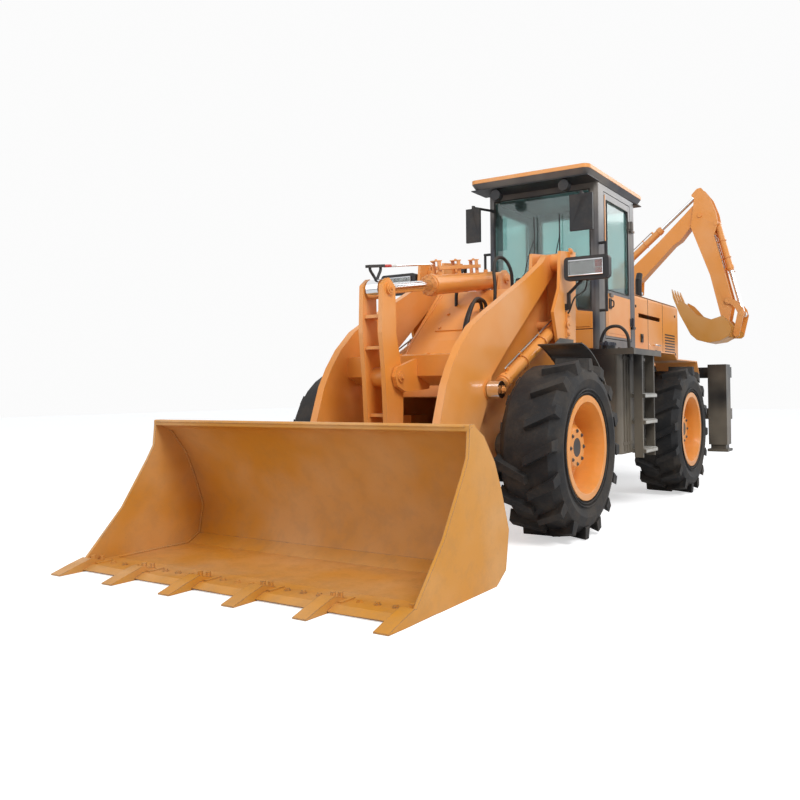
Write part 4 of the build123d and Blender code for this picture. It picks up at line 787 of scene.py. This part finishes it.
def chassis_details():
    for side, hand in SIDES:
        black = Detail("tank_trim_" + hand, "rear_body", "black")
        face, out, top = side * 0.839, side * 0.952, 1.2605
        for x in (-0.42, -0.38, -0.2, -0.14, 0.04, 0.1, 0.16):
            black.block((x - 0.006, x + 0.006), (face, side * 0.847), (0.46, 1.245))
        for z in (0.52, 1.19):
            black.block((-0.42, 0.19), (face, side * 0.845), (z - 0.012, z + 0.012))
        black.block((-0.47, 0.245), (side * 0.944, out), (1.215, 1.262))
        black.block((0.239, 0.247), (side * 0.60, out), (1.215, 1.262))
        for y in (0.62, 0.72, 0.82, 0.92):
            black.bolt((0.20, side * y, 1.261), (0, 0, 1), 0.01)
            black.bolt((-0.43, side * y, 1.261), (0, 0, 1), 0.01)
        for k in range(12):
            for n in range(5):
                x, y = -0.40 + 0.045 * k, side * (0.62 + 0.06 * n)
                black.rod((x, y, top), (x, y, top + 0.003), 0.009, 0.005, 10)
        black.place()
        pale = Detail("tread_" + hand, "rear_body", "tread")
        for z in (0.89, 0.68, 0.45):
            pale.block((-0.33, -0.03), (side * 0.845, side * 0.946), (z + 0.0152, z + 0.0195))
            pale.block((-0.33, -0.03), (side * 0.9502, side * 0.9535), (z - 0.011, z + 0.013))
            for k in range(7):
                x = -0.309 + 0.042 * k
                pale.block((x - 0.006, x + 0.006), (side * 0.85, side * 0.94), (z + 0.0195, z + 0.022))
        pale.place()
        cap = Detail("filler_cap_" + hand, "rear_body", "cab")
        x, y = 0.12, side * 0.70
        cap.rod((x, y, 1.2902), (x, y, 1.318), 0.064, 0.058, 40)
        for u, w in around(20, 1.0):
            cap.rod((x + 0.062 * u, y + 0.062 * w, 1.293), (x + 0.059 * u, y + 0.059 * w, 1.314),
                    0.005, sides=8)
        cap.block((x - 0.05, x + 0.05), (side * 0.69, side * 0.71), (1.316, 1.328))
        cap.place(0.001)
        loop = Detail("filler_hose_" + hand, "rear_body", "hose")
        loop.tube([(0.02, side * 0.60, 1.258), (0.02, side * 0.61, 1.36), (0.01, side * 0.66, 1.44),
                   (-0.01, side * 0.75, 1.45), (-0.03, side * 0.81, 1.38), (-0.04, side * 0.82, 1.258)], 0.013)
        loop.place()
        hood = Detail("hood_trim_" + hand, "rear_body", "plastic")
        outer = side * 0.48
        for x in (-1.24, -2.58):
            for z in (1.32, 1.74):
                hood.rod((x, outer, z), (x, outer + side * 0.006, z), 0.014)
        hood.block((-1.44, -1.38), (outer, outer + side * 0.012), (1.40, 1.48))
        hood.rod((-1.41, outer + side * 0.012, 1.45), (-1.41, outer + side * 0.018, 1.45), 0.016, sides=24)
        for x in (-1.62, -2.12):
            hood.block((x - 0.003, x + 0.003), (outer, outer + side * 0.0015), (1.20, 1.85))
        for k in range(9):
            z = 1.28 + 0.03 * k
            hood.block((-2.56, -2.20), (outer, outer + side * 0.004), (z - 0.006, z + 0.006))
        hood.place()
        strip = Detail("hood_handle_" + hand, "rear_body", "chrome")
        grip = outer + side * 0.03
        strip.tube([(-1.95, outer, 1.39), (-1.95, grip, 1.39), (-1.80, grip, 1.39),
                    (-1.80, outer, 1.39)], 0.007)
        strip.place()
    rear, top_z = -2.7, 1.87
    grille = Detail("hood_grille", "rear_body", "plastic")
    for k in range(17):
        z = 1.26 + 0.032 * k
        grille.block((rear - 0.006, rear), (-0.38, 0.38), (z - 0.007, z + 0.007))
    for y in (-0.39, 0.39):
        grille.block((rear - 0.009, rear), (y - 0.012, y + 0.012), (1.24, 1.80))
    grille.place()
    lights = Detail("tail_lamps", "rear_body", "red")
    for side in (LEFT, RIGHT):
        lights.rod((rear, side * 0.43, 1.80), (rear - 0.016, side * 0.43, 1.80), 0.032, 0.028, 28)
    lights.place()
    top = Detail("hood_top", "rear_body", "plastic")
    for k in range(10):
        x = -1.5 - 0.05 * k
        top.block((x - 0.008, x + 0.008), (-0.22, 0.22), (top_z, top_z + 0.004))
    # exhaust stack with its bent end
    top.rod((-2.2, 0.2, top_z), (-2.2, 0.2, 2.12), 0.035, sides=28)
    top.rod((-2.2, 0.2, 2.11), (-2.24, 0.2, 2.19), 0.036, 0.034, sides=28)
    top.place()


def mirrored(half):
    """Closed outline from the points on one side of Y = 0, lowest first."""
    (y, z), *rest = half
    return [(-y, z), (y, z), *rest, *[(-y, z) for y, z in reversed(rest)]]


def cab_details():
    front = -0.15
    panel = Detail("cab_front_panel", "rear_body", "orange")
    panel.plate([(-0.47, 1.29), (0.47, 1.29), (0.47, 1.452), (-0.47, 1.452)], front, front + 0.008, "X")
    for half, low, high in (
        ([(0.47, 1.458), (0.47, 1.60), (0.335, 1.618), (0.243, 1.912)], front, front + 0.008),
        ([(0.45, 1.475), (0.45, 1.585), (0.32, 1.60), (0.225, 1.895)], front + 0.008, front + 0.014),
    ):
        panel.plate(mirrored(half), low, high, "X")
    panel.place(0.003)
    seal = Detail("cab_seals", "rear_body", "hose")
    window = [(-0.455, 1.62), (-0.33, 1.64), (-0.24, 1.93), (0.24, 1.93), (0.33, 1.64), (0.455, 1.62),
              (0.455, 2.64), (-0.455, 2.64)]
    rear_window = [(-0.44, 1.9), (0.44, 1.9), (0.44, 2.63), (-0.44, 2.63)]
    for x, outline in ((front + 0.001, window), (-1.131, rear_window)):
        seal.seam([(x, y, z) for y, z in outline], 0.007, closed=True)
    seal.place()
    wipers = Detail("wipers", "rear_body", "plastic")
    for y, lean in ((0.12, 0.06), (-0.16, 0.10)):
        wipers.rod((front, y, 1.945), (front + 0.02, y, 1.945), 0.014)
        tip = y + lean
        wipers.tube([(front + 0.016, y, 1.945), (front + 0.02, y + lean * 0.5, 2.12),
                     (front + 0.012, tip, 2.26)], 0.004)
        wipers.block((front + 0.004, front + 0.012), (tip - 0.004, tip + 0.004), (2.06, 2.46))
    wipers.place()
    # dark sheets under the roof's front and rear overhangs: painted shade on the roof's underside
    under = Detail("roof_overhang_painted_shade", "rear_body", "plastic")
    for xs in ((-0.148, 0.115), (-1.265, -1.132)):
        under.block(xs, (-0.545, 0.545), (2.692, 2.6999))
    under.place()
    for side, hand in SIDES:
        body = f"door_{hand}_body"
        outer = side * 0.52
        skin = Detail("door_panel_" + hand, body, "orange")
        skin.block((-0.955, -0.35), (outer, outer + side * 0.004), (1.405, 1.772))
        skin.block((-0.93, -0.375), (outer + side * 0.004, outer + side * 0.007), (1.43, 1.747))
        skin.block((-0.342, -0.326), (outer, outer + side * 0.004), (1.405, 2.62))
        skin.place(0.0015)
        edge = Detail("door_seal_" + hand, body, "hose")
        pane = ((-0.92, 1.805), (-0.375, 1.805), (-0.375, 2.58), (-0.92, 2.58))
        edge.seam([(x, side * 0.521, z) for x, z in pane], 0.006, closed=True)
        edge.place()
        handle = Detail("door_handle_" + hand, body, "plastic")
        base, grip = outer + side * 0.016, outer + side * 0.034
        handle.block((-0.44, -0.385), (outer + side * 0.007, base), (1.64, 1.73))
        handle.tube([(-0.43, base, 1.715), (-0.43, grip, 1.705), (-0.43, grip, 1.665),
                     (-0.43, base, 1.655)], 0.006)
        handle.place(0.001)
        lock = Detail("door_lock_" + hand, body, "chrome")
        lock.rod((-0.40, base, 1.66), (-0.40, outer + side * 0.02, 1.66), 0.008)
        lock.place()
        low, high = ((0.37, 0.57), (0.48, 0.62))[side < 0]
        mirror = Detail("mirror_face_" + hand, "rear_body", "reflector")
        mirror.block((0.0575, 0.0598), (side * (low + 0.012), side * (high - 0.012)), (2.262, 2.538))
        mirror.place()


def hoe_details():
    for key, (base, tip, radius, length) in HOE_CYLINDERS.items():
        cylinder_trim(key + "_cyl", f"{key}_cyl_barrel_body", (HOE_X, *base), (HOE_X, *tip), (0, -1, 1),
                      radius, length)
    for side, hand in SIDES:
        foot = Detail("leg_bolts_" + hand, f"leg_{hand}_body", "steel")
        for y in (0.82, 0.968):
            for x in (-2.915, -2.725):
                foot.bolt((x, side * y, 0.275), (0, 0, 1), 0.009)
        foot.place()
    plates = Detail("slide_bolts", "rear_body", "steel")
    for z in (1.105, 0.66):
        for y in (-0.94, -0.5, 0.0, 0.4, 0.94):
            plates.bolt((-3.03, y, z), (-1, 0, 0))
    plates.place()


# ---------------------------------------------------------------- operators
DRESS_TABLES = {
    # group: rows of CAD nodes and their finish
    "running_gear": (("tyre_front_left tyre_front_right tyre_rear_left tyre_rear_right", "rubber"),
                     ("rim_front_left rim_front_right rim_rear_left rim_rear_right", "orange"),
                     ("front_axle rear_axle", "black")),
    "loader": (("lift_arms bellcrank", "orange"), ("tilt_link", "black"), ("bucket", "ochre"),
               ("lift_barrel_left lift_barrel_right tilt_barrel", "orange"),
               ("lift_rod_left lift_rod_right tilt_rod", "chrome")),
    "chassis": (("front_frame tower_left tower_right tie_lugs", "orange"),
                ("front_fenders rear_frame tank_left tank_right", "black"), ("rear_fenders", "orange"),
                ("engine", "iron"), ("hood", "orange"), ("headlamps mirrors", "plastic")),
    "cab": (("cab_shell door_left door_right", "cab"), ("console", "plastic"), ("seat", "seat"),
            ("cab_fittings", "plastic")),
    "glazing": (("cab_glass door_glass_left door_glass_right", "glass"),),
    "backhoe": (("slide_frame leg_left leg_right carriage", "black"),
                ("kingpost boom dipper", "orange"), ("hoe_bucket", "ochre"),
                ("hoe_lever hoe_link boom_cyl_barrel dipper_cyl_barrel bucket_cyl_barrel", "orange"),
                ("boom_cyl_rod dipper_cyl_rod bucket_cyl_rod", "chrome")),
}
SHARP_NODES = {"headlamps", "cab_glass", "door_glass_left", "door_glass_right"}     # no rounded edges


def dress_group(group):
    for names, finish in DRESS_TABLES[group]:
        for name in names.split():
            dressed(name, finish, 0 if name in SHARP_NODES else None)


class LOADER_OT_running_gear(Operator):
    """Tyres, rims and axles"""
    bl_idname = "loader.running_gear"
    bl_label = "Running gear"

    def execute(self, context):
        dress_group("running_gear")
        wheel_details()
        return {"FINISHED"}


class LOADER_OT_loader_linkage(Operator):
    """Arms, bellcrank, link, bucket and their cylinders"""
    bl_idname = "loader.loader_linkage"
    bl_label = "Loader linkage"

    def execute(self, context):
        dress_group("loader")
        loader_details()
        bucket_details()
        return {"FINISHED"}


class LOADER_OT_chassis(Operator):
    """Frames, fenders, tanks, hood and engine"""
    bl_idname = "loader.chassis"
    bl_label = "Chassis"

    def execute(self, context):
        dress_group("chassis")
        chassis_details()
        lamp_details()
        return {"FINISHED"}


class LOADER_OT_cab(Operator):
    """Cab shell, roof, doors, seat and console"""
    bl_idname = "loader.cab"
    bl_label = "Cab"

    def execute(self, context):
        dress_group("cab")
        dress_group("glazing")
        # the roof is orange above its seam and dark below it; on its underside the dark is painted shade
        dressed("cab_roof", "orange", 0.0, ABOVE, "_top")
        dressed("cab_roof", "cab", 0.0, BELOW, "_edge")
        cab_details()
        return {"FINISHED"}


class LOADER_OT_backhoe(Operator):
    """Slide frame, stabilizers and the folded backhoe"""
    bl_idname = "loader.backhoe"
    bl_label = "Backhoe"

    def execute(self, context):
        dress_group("backhoe")
        hoe_details()
        return {"FINISHED"}


# ---------------------------------------------------------------- stage
CAMERA_PLACE = Vector((6.129, 2.918, 0.947))
CAMERA_AXIS = Vector((-0.864, -0.5026, 0.0288))
CAMERA_UP = Vector((0.0202, 0.0226, 0.9995))
CAMERA_LENS = 35.72        # mm
CAMERA_SHIFT = (-0.0868, -0.0407)
SENSOR_WIDTH = 36.0        # mm
CLIP_END = 200.0
FLOOR_SIZE = 60.0
FLOOR_SPECK = (0.70, 0.70, 0.69)
FLOOR_GLOW = 0.55          # emission that only the camera sees
SKY_LIGHT = (0.50, 0.52, 0.55)
LIGHTS = (
    # name, place, aim, size, power
    ("Key light", (5.5, 6.5, 8.5), (0.5, 0, 1.2), 4.0, 720),
    ("Fill light", (9.0, -5.0, 5.0), (0.5, 0, 1.2), 6.0, 150),
    ("Back light", (-8.0, 4.0, 7.0), (0, 0, 1.2), 6.0, 240),
)
FLOOR_COLOUR = (0.78, 0.78, 0.78)
BACKDROP = (0.97, 0.97, 0.97)


def camera():
    made = bpy.data.cameras.new("Camera")
    made.lens = CAMERA_LENS
    made.sensor_width = SENSOR_WIDTH
    made.shift_x, made.shift_y = CAMERA_SHIFT
    made.clip_end = CLIP_END
    rig = bpy.data.objects.new("Camera", made)
    bpy.context.scene.collection.objects.link(rig)
    back = -CAMERA_AXIS.normalized()
    right = CAMERA_UP.cross(back).normalized()
    up = back.cross(right)
    turn = Matrix((right, up, back)).transposed().to_4x4()
    rig.matrix_world = Matrix.Translation(CAMERA_PLACE) @ turn
    bpy.context.scene.camera = rig


def area_light(name, place, aim, size, power):
    lamp = bpy.data.lights.new(name, "AREA")
    lamp.size = size
    lamp.energy = power
    holder = bpy.data.objects.new(name, lamp)
    bpy.context.scene.collection.objects.link(holder)
    holder.location = place
    holder.rotation_euler = (Vector(aim) - Vector(place)).to_track_quat("-Z", "Y").to_euler()


class LOADER_OT_stage(Operator):
    """Floor, soft light, sky and camera"""
    bl_idname = "loader.stage"
    bl_label = "Stage"

    def execute(self, context):
        bm = bmesh.new()
        bmesh.ops.create_grid(bm, x_segments=1, y_segments=1, size=FLOOR_SIZE / 2)
        mesh = bpy.data.meshes.new("Floor")
        bm.to_mesh(mesh)
        bm.free()
        floor = bpy.data.objects.new("Floor", mesh)
        context.scene.collection.objects.link(floor)
        made, tree, shader, _ = fresh_material("Pale floor")
        coords = tree.nodes.new("ShaderNodeTexCoord").outputs["Object"]
        speck = noise(tree, coords, 7.0, 8.0, 0.6)
        colour = mixed(tree, times(tree, speck.outputs["Fac"], 0.12), FLOOR_COLOUR, FLOOR_SPECK)
        tree.links.new(colour, shader.inputs["Base Color"])
        shader.inputs["Roughness"].default_value = 0.85
        shader.inputs["Emission Color"].default_value = (1, 1, 1, 1)
        seen = tree.nodes.new("ShaderNodeLightPath").outputs["Is Camera Ray"]
        tree.links.new(times(tree, seen, FLOOR_GLOW), shader.inputs["Emission Strength"])
        mesh.materials.append(made)
        for row in LIGHTS:
            area_light(*row)
        world = bpy.data.worlds.new("Sky")
        world.use_nodes = True
        context.scene.world = world
        tree = world.node_tree
        paths = tree.nodes.new("ShaderNodeLightPath")
        seen = calc(tree, "MAXIMUM", paths.outputs["Is Camera Ray"], paths.outputs["Is Glossy Ray"])
        seen = calc(tree, "MAXIMUM", seen, paths.outputs["Is Transmission Ray"])
        background = tree.nodes["Background"]
        tree.links.new(mixed(tree, seen, SKY_LIGHT, BACKDROP), background.inputs["Color"])
        background.inputs["Strength"].default_value = 1.0
        camera()
        context.scene.view_settings.view_transform = "Standard"
        return {"FINISHED"}


OPERATORS = (
    LOADER_OT_stage, LOADER_OT_running_gear, LOADER_OT_loader_linkage, LOADER_OT_chassis, LOADER_OT_cab,
    LOADER_OT_backhoe,
)


class LOADER_PT_panel(Panel):
    """Lists the operators that dress the machine"""
    bl_idname = "LOADER_PT_panel"
    bl_label = "Backhoe loader"
    bl_space_type = "VIEW_3D"
    bl_region_type = "UI"
    bl_category = "Loader"

    def draw(self, context):
        for operator in OPERATORS:
            self.layout.operator(operator.bl_idname)
        for settings in (context.scene.loader_paint, context.scene.loader_sizes):
            for key in settings.bl_rna.properties.keys():
                if key not in ("rna_type", "name"):
                    self.layout.prop(settings, key)


CLASSES = (PaintSettings, SizeSettings, *OPERATORS, LOADER_PT_panel)


def register():
    for made in CLASSES:
        bpy.utils.register_class(made)
    bpy.types.Scene.loader_paint = PointerProperty(type=PaintSettings)
    bpy.types.Scene.loader_sizes = PointerProperty(type=SizeSettings)


def unregister():
    del bpy.types.Scene.loader_sizes
    del bpy.types.Scene.loader_paint
    for made in reversed(CLASSES):
        bpy.utils.unregister_class(made)


def main():
    register()
    for operator in OPERATORS:
        group, name = operator.bl_idname.split(".")
        getattr(getattr(bpy.ops, group), name)()


if __name__ == "__main__":
    main()
